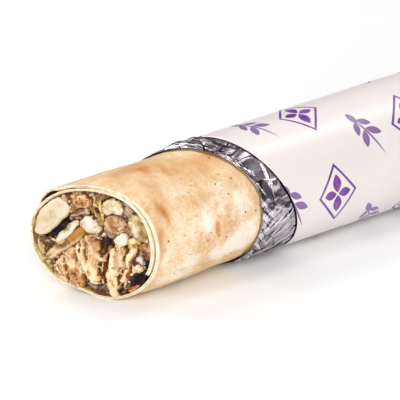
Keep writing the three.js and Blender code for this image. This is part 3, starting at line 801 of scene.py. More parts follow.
def printCells(tree, u, v, shiftRow):  # place inside one cell of the print, in mm from its middle
    width = 2 * math.pi * roll["radius"] / printed["columns"]
    row = plus(tree, calculate(tree, "DIVIDE", v, printed["rows"]), 10.0 + shiftRow)
    odd = calculate(tree, "MODULO", calculate(tree, "FLOOR", row), 2.0)
    column = calculate(tree, "MULTIPLY_ADD", odd, 0.5, 0.5)  # every other row stands half a motif aside
    column = plus(tree, calculate(tree, "DIVIDE", u, width), column)
    places = []
    for value, size in ((column, width), (row, printed["rows"])):
        fromMiddle = minus(tree, calculate(tree, "FRACT", value), 0.5)
        places.append(times(tree, fromMiddle, size))
    return places


def leafMasks(tree, across, along, leaves, tilt):
    place = addNode(tree, "ShaderNodeCombineXYZ", {0: across, 1: along}).outputs[0]
    place = turnFlat(tree, place, math.radians(tilt))
    total = 0.0
    for right, up, turn, length, width in leaves:
        one = useGroup(tree, leafShape, {"Vector": place, "Centre": (right, up, 0),
                                         "Turn": math.radians(turn), "Length": length, "Width": width})
        total = calculate(tree, "MAXIMUM", total, one["Mask"])
    return total


def printMasks(tree):
    sheetPlace = addNode(tree, "ShaderNodeUVMap", uv_map="sheet").outputs[0]
    parts = addNode(tree, "ShaderNodeSeparateXYZ", {0: sheetPlace}).outputs
    u = times(tree, parts[0], printed["uvUnit"])
    v = times(tree, parts[1], printed["uvUnit"])
    onWall = calculate(tree, "LESS_THAN", v, printed["lastRow"])
    across, along = printCells(tree, u, v, 0.15)
    shares = [calculate(tree, "DIVIDE", calculate(tree, "ABSOLUTE", value), half)
              for value, half in zip((across, along), printed["lozenge"])]
    fromOutline = calculate(tree, "ABSOLUTE", minus(tree, plus(tree, *shares), 1.0))
    outline = stepUp(tree, fromOutline, printed["outline"], printed["outline"] * 0.6)
    flower = leafMasks(tree, across, along, printed["medallion"], 0)
    medallions = times(tree, calculate(tree, "MAXIMUM", outline, flower), onWall)
    across, along = printCells(tree, u, v, 0.65)
    sprigs = times(tree, leafMasks(tree, across, along, printed["sprig"], printed["tilt"]), onWall)
    return medallions, sprigs


def makePaperMaterial():
    material, tree, shader = newMaterial("printed paper", Roughness=0.34, Coat_Weight=0.12,
                                         Coat_Roughness=0.2)
    pulp = blotches(tree, 40.0, 0.8, 0.25)
    sheet = colourSteps(tree, pulp["Mask"], [(0.2, (234, 225, 224)), (0.8, (241, 235, 234))])
    medallions, sprigs = printMasks(tree)
    sheet = mixColours(tree, medallions, sheet, colourSteps(tree, pulp["Fine"], printed["violet"]))
    sheet = paint(tree, sheet, printed["sprigColour"], sprigs, 0.92)
    finishMaterial(tree, shader, sheet, None, pulp["Fine"], 0.08, 0.0001)
    return material


# Filling: fine copies of the solids that show in the cut

# For each kind: swell closes the gaps, lumps, fibres and grit are the relief (mm), steps go from
# hollows, dark with painted shade, to ridges, and stain and bloom are two more colours that marks can bring
# in
usualLook = dict(
    voxel=0.28, swell=0.8, lumps=0.3, lumpSize=1.8, fibres=0.2, fibreWidth=0.8, grit=0.1, creased=0,
    wet=0.3, coat=0.14, specular=0.35, base=0.42, shading=0.42, speckle=0.5, limp=1)
ownLooks = {
    "chicken": dict(
        steps=[(38, 18, 6), (160, 106, 55), (216, 170, 113), (250, 227, 184)], stain=(184, 104, 34),
        bloom=(206, 146, 106), voxel=0.27, swell=0.6, lumps=0.4, lumpSize=3.4, fibres=0.24, fibreWidth=0.75,
        grit=0.2, creased=0.2, wet=0.38, coat=0.45, base=0.46),
    "taupe": dict(
        steps=[(62, 38, 20), (136, 96, 60), (188, 146, 104), (230, 202, 164)], stain=(172, 112, 58),
        bloom=(150, 124, 114), voxel=0.34, swell=0.7, lumps=0.35, lumpSize=2.6, fibres=0.08, fibreWidth=1.2,
        grit=0.16, wet=0.36, coat=0.25),
    "cheese": dict(
        steps=[(122, 88, 40), (186, 160, 112), (222, 205, 173), (232, 219, 194)], stain=(196, 156, 78),
        bloom=(204, 184, 164), voxel=0.38, swell=0.15, lumps=0.16, lumpSize=6, fibres=0, grit=0.03,
        wet=0.42, base=0.56, shading=0.14, speckle=0.07, limp=0.6),
    "white": dict(
        steps=[(34, 22, 14), (174, 144, 98), (214, 194, 158), (236, 226, 204)], stain=(214, 172, 104),
        bloom=(228, 226, 214), voxel=0.34, swell=0.45, lumps=0.2, lumpSize=2.6, fibres=0, wet=0.42,
        base=0.46, shading=0.3, speckle=0.3, limp=0.6),
    "golden": dict(
        steps=[(66, 36, 12), (134, 84, 32), (180, 126, 60), (228, 188, 126)], stain=(192, 130, 46),
        bloom=(240, 214, 166), voxel=0.34, swell=0.55, lumps=0.25, lumpSize=2.6, fibres=0.3, fibreWidth=0.9,
        grit=0.12, creased=0.6, wet=0.34, base=0.3, limp=0.6),
    "pale": dict(
        steps=[(104, 76, 34), (186, 154, 98), (222, 199, 152), (240, 228, 200)], stain=(198, 160, 82),
        bloom=(238, 238, 222), voxel=0.34, swell=0.75, lumps=0.22, lumpSize=3, fibres=0.15, fibreWidth=1.4,
        grit=0.08, wet=0.28),
    "mushroom": dict(
        steps=[(30, 18, 10), (86, 58, 34), (138, 102, 68), (200, 168, 130)], stain=(140, 86, 40),
        bloom=(186, 164, 138), voxel=0.3, lumpSize=2, fibres=0.3, grit=0.12, creased=0.6, coat=0.4),
    "brown": dict(
        steps=[(46, 26, 12), (110, 68, 32), (168, 116, 62), (218, 178, 124)], stain=(196, 124, 44),
        bloom=(214, 186, 150), voxel=0.3, fibres=0.3, grit=0.15, creased=0.6, wet=0.34, coat=0.35),
    "olive": dict(
        steps=[(3, 2, 2), (9, 5, 4), (20, 11, 8), (68, 46, 38)], stain=(72, 36, 24), bloom=(84, 70, 78),
        voxel=0.32, swell=0.9, lumps=0.35, lumpSize=2.2, fibres=0.1, fibreWidth=1, grit=0.06, coat=0.0,
        specular=0.14),
    "leaf": dict(
        steps=[(54, 38, 16), (158, 126, 66), (212, 184, 122), (242, 226, 178)], stain=(188, 128, 48),
        bloom=(236, 222, 176), swell=0.4, lumps=0.5, lumpSize=1.7, fibres=0.3, creased=0.6, wet=0.34),
    "pickle": dict(
        steps=[(64, 48, 16), (142, 116, 50), (192, 166, 94), (230, 212, 154)], stain=(120, 96, 30),
        bloom=(232, 218, 166), lumps=0.5, fibres=0.4, creased=0.6),
    "green": dict(
        steps=[(38, 32, 16), (112, 92, 42), (180, 146, 80), (226, 196, 130)], stain=(206, 146, 60),
        bloom=(150, 140, 80), swell=0.4, fibreWidth=1),
    "pepper": dict(
        steps=[(84, 36, 16), (152, 78, 34), (192, 118, 60), (232, 172, 108)], stain=(120, 66, 24),
        bloom=(228, 176, 96), swell=0.4, lumps=0.25, lumpSize=2.4, fibres=0.1, fibreWidth=1, grit=0.04,
        wet=0.22),
    "corn": dict(
        steps=[(140, 90, 34), (208, 160, 80), (236, 200, 128), (250, 232, 184)], stain=(206, 150, 54),
        bloom=(250, 232, 180), voxel=0.3, swell=0.5, fibres=0),
    "crisp": dict(
        steps=[(58, 30, 12), (122, 72, 34), (164, 110, 60), (210, 164, 112)], stain=(112, 60, 26),
        bloom=(216, 170, 120), lumps=0.35, lumpSize=1.7, grit=0.22, creased=0.6, wet=0.4),
    "amber": dict(
        steps=[(66, 36, 12), (150, 96, 44), (206, 152, 88), (240, 204, 146)], stain=(150, 76, 26),
        bloom=(244, 214, 164), fibres=0.4, grit=0.14, creased=0.6, coat=0.3),
    "onion": dict(
        steps=[(44, 28, 14), (100, 74, 48), (152, 124, 94), (222, 208, 192)], stain=(132, 98, 66),
        bloom=(236, 230, 226), swell=0.7, lumps=0.35, fibres=0.4, fibreWidth=0.9, grit=0.05),
    "cream": dict(
        steps=[(116, 84, 50), (188, 156, 112), (226, 202, 162), (248, 234, 208)], stain=(150, 104, 60),
        bloom=(250, 240, 220), swell=0.5, lumps=0.35, lumpSize=1.6, fibres=0.1, fibreWidth=1, grit=0.12,
        wet=0.36),
    "mince": dict(
        steps=[(32, 18, 8), (84, 52, 24), (136, 94, 50), (200, 158, 104)], stain=(150, 96, 44),
        bloom=(206, 176, 138), lumps=0.5, lumpSize=1.5, grit=0.2, creased=0.6, wet=0.32, base=0.34),
    "filling": dict(
        steps=[(26, 15, 9), (72, 46, 26), (122, 86, 52), (176, 138, 92)], stain=(150, 100, 40),
        bloom=(180, 150, 104), voxel=0.85, swell=0.5, lumps=1.0, lumpSize=2.6, fibres=0, grit=0.3,
        wet=0.28),
}
looks = {kind: {**usualLook, **own} for kind, own in ownLooks.items()}
otherLooks = {"pale_slice_top": "amber", "brown_crumb": "amber"}
otherSwells = {"white_arm": 0.5, "white_block": 0.6}


# What one piece has and its kind doesn't: folds, ridges, browned and pale places. A row goes from one
# point of the cut to another (to the right and up from the axis) with half a width, in mm. Then come how
# far it stands out, how much lighter it is, and its shares of stain and bloom, where it has them.
# A darker tone where a mark sinks the surface in is painted shade in that fold or hollow
marks = {
    "chicken_b": [
        (-2.3, -2.6, -2, -7.6, 1.1, -3, -0.5, 0.7),  # fold, sunk in and darker with painted shade, and stained
        (-5.6, -1.2, -4.4, -6.5, 1, 1, 0.35),  # ridge beside it
        (-4.4, -6.5, -1.6, -12.5, 1.2, 0.9, 0.35),
        (-1.5, -12.5, 3.4, -18, 2.8, 0.5, 0.3),
        (-5.5, -12, -3.4, -17.5, 1, -1, -0.35, 0.3),
        (-0.9, 0.6, 2.2, -2.5, 2.2, -0.3, -0.2, 0.1, 0.25),  # browned lobe
        (-3, -3, -0.6, -15, 3.4, 0.2, 0.18),
        (3.6, -0.5, 4, -7.5, 0.8, 0.2, 0.3),
        (1.2, -4.5, 1.4, -9, 1.2, 0.5, 0, 0.2),
        (5.4, -9.4, 5.4, -20, 2.3, -3.6, -0.95, 0.4),  # hollow on its right, darker with painted shade
        (3.4, 2.6, 6, -2, 2, -5, -1.3),  # hole above it, dark with painted shade
        (-6.2, -3, -5.2, -10, 0.7, 0.3, 0.25),
    ],
    "chicken_a": [
        (-7.5, -2.4, -6.2, -9.5, 0.9, 0.8, 0.35),
        (-9.5, -11.4, -9.2, -12, 1.2, 0.5, 0.7),
        (-10.5, -16.2, -7, -16.8, 2.6, 0.9, -0.16, 0.3),  # browned lump
        (-12, -13, -11.6, -19.6, 0.55, -1.2, -0.4, 0.4),
        (-9, -8.6, -8.2, -9.6, 1.4, -1, -0.25, 0.2),
        (-11.5, -6.6, -10.4, -9.4, 2, 0, 0.06, 0, 0.4),
        (-5.4, -11.5, -4.2, -19, 0.7, -1.6, -0.4, 0.4),
        (-13.8, -12.8, -13.4, -20, 0.6, 0.3, 0.3),
    ],
    "chicken_c": [
        (5.6, -7.5, 6, -20, 1.6, -2.6, -0.9, 0.4),
        (8.8, -1.5, 8.4, -10, 0.9, 0.3, 0.4),
        (12.2, -2, 11.6, -8, 1.5, 0, 0, 0, 0.8),  # reddish, torn side
        (10.6, -1.5, 10.2, -9.5, 0.45, -1.4, -0.45, 0.4),
        (13.2, -9.5, 12.6, -17.5, 0.8, -2.4, -0.55, 0.5),
        (9.4, -10.5, 9.7, -22, 2.1, 0.5, 0.42),
        (9, -3, 9.4, -14, 2.2, 0, 0.14),
    ],
    "chicken_d": [
        (18.8, 0.5, 13.6, -15, 0.8, 0.3, 0.3),
        (20.4, -2, 16, -13, 0.8, -0.9, -0.6, 0.4),
        (15.2, -4, 12.6, -14, 0.9, -1.6, -0.7, 0.4),
    ],
    "chicken_e": [
        (-16.5, -12, -14.5, -20, 0.7, 0.2, 0.2),
        (-15, -14, -14, -18, 1.4, 0, 0, 0, 0.4),
    ],
    "chicken_f": [(6.4, -8, 6.2, -20, 3.2, -2, -0.8, 0.3)],
    "mushroom_left": [(-24.5, -4.6, -20.5, -3.4, 3, -0.3, -0.4, 0.3)],
    "taupe_meat": [
        (8.4, 11.6, 10, 8.4, 1.7, 0.2, -0.04, 0.9),
        (6.4, 5.5, 8, 3.8, 2.2, 0, 0.04, 0, 0.6),
        (8.6, 9.2, 11.8, 8.4, 0.35, -0.4, -0.35),
        (5, 3, 6.8, 1.4, 1.3, -4, -0.9, 0.3),
    ],
    "cheese_large": [
        (-28.4, 2, -26.6, 11, 1.3, -0.2, -0.14, 0.5),
        (-26, 13.5, -20, 19.5, 0.7, 0, -0.1, 0.45),
        (-22.3, 6.5, -21.8, 6.8, 1.3, -0.1, -0.08, 0.2, 0.5),
        (-16, 12, -17, 4, 0.8, 0, 0.08),
        (-24.5, -1.5, -20, 0.5, 0.8, 0, -0.1, 0.3),
    ],
    "white_block": [
        (-2.5, 9, -0.8, 6.6, 2.1, 0.3, 0.2, 0, 0.6),
        (-7, 3.4, 2.4, 2.6, 1, -0.3, -0.3, 0.8),
        (1.8, 9.2, 3, 5, 0.8, -0.2, -0.2, 0.6),
    ],
    "white_arm": [
        (-18.9, 0.1, -12.9, 5.9, 1.25, -2.5, -1.1),  # the olive shows over it
        (-16.6, -2.6, -7, 6.6, 1.1, 0.3, 0.3),
        (-17.6, -4.4, -8, 3.2, 0.8, -0.2, -0.2, 0.8),
    ],
    "golden_slab": [
        (-11.4, 0.6, -6.4, 4.2, 2.3, -0.5, -0.12, 0.9),  # amber middle
        (-16, -5, -8, 2, 2.6, 0, -0.18, 0.2),
        (-12, -1.2, -9, 1.4, 0.6, -0.3, -0.3, 0.5),
        (-20.6, -10.4, -5.6, 1.4, 0.6, 0.4, 0.2, 0, 0.6),  # pale lower lip
        (-22.6, -9.2, -18.4, -7, 1.7, 0.2, 0.2, 0, 0.5),
        (-22.8, -8.2, -19.6, -6.2, 0.25, -0.5, -0.5, 0.4),
        (-22.4, -10.6, -18.8, -8.6, 0.25, -0.5, -0.5, 0.4),
    ],
    "olive_strip": [
        (-22.5, -3.2, -20.5, -3, 2, 0, 0.2, 0.9),
        (-14.6, 8.6, -18.6, 4, 0.3, 0.2, 0.35),
    ],
    "leaf_strip": [
        (1.9, 16.4, 2.1, 14.8, 0.8, -1.6, -0.8),  # small opening, dark with painted shade
        (0.6, 20, 1.2, 8, 0.4, 0.3, 0.3),
        (1.4, 22.6, 2.6, 20.8, 1.2, 0, -0.4),
        (2, 12.6, 3, 9, 1, -0.2, -0.16, 0.5),
        (3, 19, 3.4, 10, 0.3, -0.4, -0.4, 0.4),
    ],
    "pepper_top": [
        (-3.4, 18.8, -2.8, 17.6, 0.9, 0.2, 0.2, 0, 0.9),
        (-2.6, 18, -0.6, 15.4, 0.4, 0.2, 0.3),
        (-1.2, 16, 0.4, 13.6, 0.8, 0, -0.25, 0.8),
    ],
    "pale_slice_left": [
        (5.4, 17.4, 6.6, 17, 1.1, 0, -0.06, 0.4),
        (8.5, 18.4, 11, 17, 1.4, 0.1, 0.12, 0, 0.4),
    ],
    "pale_slice_right": [
        (18.4, 13.5, 20.4, 6, 1, 0.1, 0.06, 0, 0.3),
        (19, 14, 21, 5, 5, 0, -0.14),
        (21.6, 13, 23.2, 6, 0.8, -0.4, -0.4, 0.4),
        (17, 9, 18.4, 4.4, 0.5, -0.3, -0.3, 0.2),
    ],
    "white_cube": [(12.4, 5.8, 13.4, 3.4, 2.8, 0.3, 0.5, 0, 0.7)],
    "mushroom_right": [
        (15.4, 16.6, 19, 14, 1.6, 0.2, 0.3, 0, 0.5),
        (18.6, 15.4, 21.6, 13, 0.8, -0.5, -0.5),
    ],
    "olive_right": [(22.8, -8.6, 23.6, -10, 0.5, 0.2, 0.5, 0, 0.6)],
    "olive_bottom": [
        (15.8, -14.4, 17.4, -13.8, 0.6, 0.2, 0.5, 0, 0.8),
        (11, -17, 14, -15.6, 0.4, 0.2, 0.4),
    ],
    "pale_slice_top": [
        (-11.5, 19.6, -10.6, 16.4, 0.6, -0.4, -0.5, 0.9),
        (-8, 19.4, -3.4, 19.8, 0.7, 0.2, 0.25),
    ],
    "mushroom_top": [
        (-11, 10.4, -3.4, 12.6, 0.35, 0.3, 0.45),
        (-9, 12, -7, 12.4, 1.1, 0, 0, 0.5),
    ],
    "brown_crumb": [
        (-11, 15.4, -4.4, 15, 0.4, 0.2, 0.25),
        (-10, 14.2, -5, 13.4, 1.6, 0, -0.35, 0.4),
    ],
    "onion_piece": [
        (20.6, -3, 21.8, -5.4, 0.8, 0.2, 0.3, 0, 0.3),
        (22.6, -2.4, 22.8, -4, 0.4, -0.4, -0.5),
    ],
    "mushroom_bottom": [
        (-2.4, -20.4, -0.6, -21.6, 0.9, 0.2, 0.3, 0, 0.6),
        (-12, -20.6, 3, -22, 3, 0, -0.22),
        (-4.4, -22.6, 3.6, -23.6, 0.5, -0.4, -0.3, 0.4),
        (3, -21.6, 5, -22.4, 0.9, 0.2, 0.3, 0.2),
    ],
    "crisp_piece": [
        (24, 1.4, 25.4, 0.4, 1.1, 0.2, 0.12, 0, 0.4),
        (24.6, -2, 26, -3.4, 1.2, 0, -0.2, 0.5),
    ],
    "pepper_bottom": [
        (16, -20.4, 20.6, -17.4, 0.4, 0.1, 0.25),
        (20.4, -16.8, 21.6, -16.6, 0.8, 0, 0.2, 0, 0.4),
    ],
}
cutRight = Vector((math.sin(roll["cutSlant"]), -math.cos(roll["cutSlant"]), 0))
cutOutwards = Vector((-math.cos(roll["cutSlant"]), -math.sin(roll["cutSlant"]), 0))


def makeFoodMaterial(kind, look):
    material, tree, shader = newMaterial(
        f"{kind} in the filling", Roughness=look["wet"], Coat_Roughness=0.08,
        Specular_IOR_Level=look["specular"], Subsurface_Weight=0.05, Subsurface_Scale=0.001)
    shader.inputs["Subsurface Radius"].default_value = (1.0, 0.7, 0.5)
    patches = blotches(tree, 460.0, 1.5, 1.0)
    herbs = specks(tree, 330.0, 0.11, 0.24)
    raised = readShare(tree, "raised")
    uneven = minus(tree, patches["Mask"], 0.5)
    tone = calculate(tree, "MULTIPLY_ADD", uneven, look["speckle"], raised)
    # Dark steps show the painted shade of hollows, pale steps the lit ridges
    colour = colourSteps(tree, tone, list(zip((0.02, 0.3, 0.54, 0.82), look["steps"])))
    broken = plus(tree, patches["Fine"], 0.5)
    for extra in ("stain", "bloom"):
        share = calculate(tree, "MULTIPLY", readShare(tree, extra), broken, clamp=True)
        colour = paint(tree, colour, look[extra], share)
    colour = paint(tree, colour, (38, 26, 18), herbs)
    shine = calculate(tree, "MULTIPLY_ADD", patches["Mask"], 0.3, look["wet"] - 0.15)
    wetness = times(tree, stepUp(tree, raised, 0.0, 0.4), look["coat"])
    tree.links.new(wetness, shader.inputs["Coat Weight"])  # hollows don't shine
    finishMaterial(tree, shader, colour, shine, patches["Fine"], 0.5, 0.0004)
    return material


def bakeModifiers(piece):
    evaluated = piece.evaluated_get(bpy.context.evaluated_depsgraph_get())
    mesh = bpy.data.meshes.new_from_object(evaluated)
    piece.modifiers.clear()
    piece.data = mesh


# How a fine copy is dressed, with lengths in mm
dressing = {
    "softening": 3,  # rounds
    "relief": (-1.3, 0.7),  # lowest and highest
    "edgeShade": 0.14, "depthShade": 0.36, "darkFrom": 0.6, "darkTo": 4.5,  # mm behind the cut
    "browned": ("chicken", "golden", "taupe"), "brownedBy": 0.3,  # kinds with browned sides
    # All the pieces are pressed together out of their even outlines: size, seed and strength, first
    # coarse, then fine. The coarse part fades towards the bread, and both fade behind the cut.
    "pressed": [(4.6, 301, 0.8), (1.9, 303, 0.4)], "pressedWithin": (24, 18), "pressedBehind": (14, 6),
}


def fineCopy(node, voxel):
    mesh = frame["nodes"][node].data.copy()
    shape = bmesh.new()
    shape.from_mesh(mesh)
    bmesh.ops.remove_doubles(shape, verts=shape.verts, dist=1e-6)
    shape.to_mesh(mesh)
    shape.free()
    mesh.materials.clear()
    first, *others = node.split("_")
    name = first + "".join(word.capitalize() for word in others)
    piece = addObject(name + "Piece", mesh)
    remesh = piece.modifiers.new("fine skin", "REMESH")
    remesh.mode = "VOXEL"
    remesh.voxel_size = voxel / 1000
    soften = piece.modifiers.new("soften", "SMOOTH")
    soften.factor = 0.5
    soften.iterations = dressing["softening"]
    bakeModifiers(piece)
    return piece


def readPoints(mesh):
    points = np.zeros(len(mesh.vertices) * 3)
    mesh.vertices.foreach_get("co", points)
    normals = np.zeros(len(mesh.vertices) * 3)
    mesh.vertex_normals.foreach_get("vector", normals)
    return points.reshape(-1, 3) * 1000, normals.reshape(-1, 3)


def placeInCut(points):  # to the right, up, and behind the cut
    right = -points[:, 1] / math.cos(roll["cutSlant"])
    up = points[:, 2] - roll["axisLift"] - breadUnderside(points[:, 0])
    return right, up, points[:, 0] - roll["cutX"] - right * math.sin(roll["cutSlant"])


def grainAxis(points):  # the long way of a piece, as it shows in the cut
    right, up, behind = placeInCut(points)
    front = behind < np.percentile(behind, 30)
    long = np.linalg.eigh(np.cov(np.stack([right[front], up[front]])))[1][:, 1]
    return np.array(cutRight) * long[0] + np.array([0, 0, long[1]])


def markShares(node, right, up, torn):
    found = {key: np.zeros(len(right)) for key in ("push", "tone", "stain", "bloom")}
    place = np.stack([right, up], axis=1)
    for row in marks.get(node, []):
        start, end, wide = np.array(row[:2]), np.array(row[2:4]), row[4]
        way = end - start
        along = np.clip((place - start) @ way / (way @ way), 0, 1)
        away = np.linalg.norm(place - start - along[:, None] * way, axis=1)
        share = np.exp(-((away * (1 + 0.35 * torn) / wide) ** 2))
        for total, strength in zip(found.values(), row[5:]):
            total += strength * share
    return found


def packedShift(right, up, behind):  # out of the even outlines
    place = flatPoints(right, up, behind * 0.3)
    middle = smooth(*dressing["pressedWithin"], np.hypot(right * math.cos(roll["cutSlant"]), up))[:, None]
    broad, fine = [strength * np.stack([softNoise(place / size, seed + step) for step in (0, 1)], axis=1)
                   for size, seed, strength in dressing["pressed"]]
    shift = (broad * middle + fine) * smooth(*dressing["pressedBehind"], behind)[:, None]
    return shift[:, :1] * np.array(cutRight) + shift[:, 1:] * np.array([0, 0, 1])


def dressPiece(node, seed):
    kind = otherLooks.get(node, node.split("_")[0])
    look = looks[kind]
    piece = fineCopy(node, look["voxel"])
    points, normals = readPoints(piece.data)
    grain = grainAxis(points)
    outwards = np.array(cutOutwards)
    side = np.cross(grain, outwards)
    right, up, behind = placeInCut(points)
    local = np.stack([points @ grain, points @ side, points @ outwards], axis=1)
    lumps = layeredNoise(local / look["lumpSize"], seed, 3)
    creased = 0.65 - 2 * np.abs(lumps)  # rounded, with sharp creases between
    lumps = lumps + (creased - lumps) * look["creased"]
    strands = local / np.array([look["fibreWidth"] * 7, look["fibreWidth"], look["fibreWidth"] * 5])
    fibres = 1 - 2 * np.abs(softNoise(strands + 0.4 * lumps[:, None], seed + 3))
    grit = layeredNoise(local / 0.9, seed + 5, 2, 0.8)
    relief = look["lumps"] * lumps + look["fibres"] * 0.5 * (fibres - 0.3) + look["grit"] * grit
    facing = smooth(0.0, 0.8, normals @ outwards)
    found = markShares(node, right, up, softNoise(local / 1.3, seed + 9))
    sideways = normals - outwards * (normals @ outwards)[:, None]  # the cut itself stays flat
    points = points + normals * np.clip(relief, *dressing["relief"])[:, None]
    points = points + sideways * otherSwells.get(node, look["swell"])
    points = points + outwards * (found["push"] * facing)[:, None]
    points = points + packedShift(right, up, behind) * look["limp"]
    piece.data.vertices.foreach_set("co", (points / 1000).ravel())
    fullRelief = look["lumps"] + look["fibres"] * 0.5 + look["grit"]
    sunk = smooth(dressing["darkFrom"], dressing["darkTo"], behind)
    # Painted light and shade: lighter on ridges, darker in hollows, on the sides and deep behind the cut;
    # marks add their own tone
    raised = look["base"] + look["shading"] * relief / fullRelief
    raised = raised - dressing["edgeShade"] * (1 - facing) - dressing["depthShade"] * sunk
    raised = raised + found["tone"] * facing
    rim = dressing["brownedBy"] * (1 - facing) * (1 - sunk) * (kind in dressing["browned"])
    setShares(piece.data, {"raised": raised, "stain": found["stain"] + rim, "bloom": found["bloom"]})
    piece.data.shade_smooth()
    piece.data.materials.append(foodMaterials[kind])
    return standFor(piece, [node])


def blur(values, reach):
    total = sum(np.roll(values, step, axis=0) for step in range(-reach, reach + 1)) / (2 * reach + 1)
    return sum(np.roll(total, step, axis=1) for step in range(-reach, reach + 1)) / (2 * reach + 1)


# The cut as a grid of cells: their size, the grid's half width and how deep it is where nothing lies, in
# mm, how many cells a hollow is compared with, and how deep in mm and how much darker it gets, as painted
# shade, and how much lighter a ridge gets, as painted highlight
crevices = {"cell": 0.45, "halfWidth": 30, "floor": 3.2, "reach": 3, "depth": 0.7, "tone": 0.4,
            "ridgeTone": 0.16}


def settleTones(pieces):  # painted shade in the hollows between the pieces, painted highlight on the ridges
    count = int(2 * crevices["halfWidth"] / crevices["cell"])
    front = np.full((count, count), crevices["floor"])
    spots = {}
    for name, piece in pieces.items():
        right, up, behind = placeInCut(readPoints(piece.data)[0])
        cells = [((value + crevices["halfWidth"]) / crevices["cell"]).astype(int).clip(0, count - 1)
                 for value in (right, up)]
        np.minimum.at(front, (cells[0], cells[1]), behind)
        spots[name] = (cells[0], cells[1], behind)
    level = blur(front.clip(-1.5), crevices["reach"])
    for name, piece in pieces.items():
        column, row, behind = spots[name]
        depth = (behind - level[column, row]) / crevices["depth"]
        attribute = piece.data.attributes["raised"].data
        raised = np.zeros(len(behind))
        attribute.foreach_get("value", raised)
        raised = raised - crevices["tone"] * depth.clip(0, 1.4) - crevices["ridgeTone"] * depth.clip(-1, 0)
        attribute.foreach_set("value", raised.astype(np.float32))


# Small torn bits, shreds and crumbs on the pieces and between them

# Sizes in mm: length, width and thickness of one bit, how much it is bent and torn, smallest and
# largest scale. A bit without a length is a round crumb.
crumb = {"length": 0, "thickness": 1, "tilt": 3}
shred = {"length": 3.6}
bits = {
    "meatShreds": {**shred, "look": "chicken", "slot": "chicken", "width": 0.8, "thickness": 0.4, "torn": 0.6,
                   "smallest": 0.45, "largest": 1.3, "tilt": 0.35, "seed": 3, "tones": (0.5, 0.9),
                   "stains": (-0.4, 0.3)},
    "brownCrumbs": {**crumb, "look": "mince", "slot": "filling", "width": 1.9, "torn": 0.9, "smallest": 0.4,
                    "largest": 1.2, "seed": 5, "tones": (0.08, 0.72), "stains": (-0.6, 0.7)},
    "creamCrumbs": {**crumb, "look": "cream", "slot": "cheese", "width": 1.7, "torn": 0.8, "smallest": 0.35,
                    "largest": 1.1, "seed": 8, "tones": (0.3, 0.85), "stains": (-0.8, 0.4)},
    "greenShreds": {**shred, "look": "pickle", "slot": "leaf", "width": 0.9, "thickness": 0.25, "torn": 0.7,
                    "smallest": 0.5, "largest": 1.2, "tilt": 1.2, "seed": 13, "tones": (0.3, 0.95),
                    "stains": (-0.6, 0.4)},
}
shredCounts = {"chicken_a": 26, "chicken_b": 28, "chicken_c": 34, "chicken_d": 12, "chicken_e": 14,
               "chicken_f": 12, "taupe_meat": 12}


def drawNumber(tree, lowest, highest, seed):
    node = addNode(tree, "FunctionNodeRandomValue", {2: lowest, 3: highest, "Seed": seed}, data_type="FLOAT")
    return node.outputs[1]


def bitForm(tree, bit, given):
    if not bit["length"]:
        radius = times(tree, given["Width"], 0.5)
        return addNode(tree, "GeometryNodeMeshIcoSphere", {"Radius": radius, "Subdivisions": 2}).outputs[0]
    sides = {number: given[label] for number, label in enumerate(("Length", "Width", "Thickness"))}
    size = addNode(tree, "ShaderNodeCombineXYZ", sides).outputs[0]
    inputs = {"Size": size, "Vertices X": 7, "Vertices Y": 3}
    return addNode(tree, "GeometryNodeMeshCube", inputs).outputs[0]


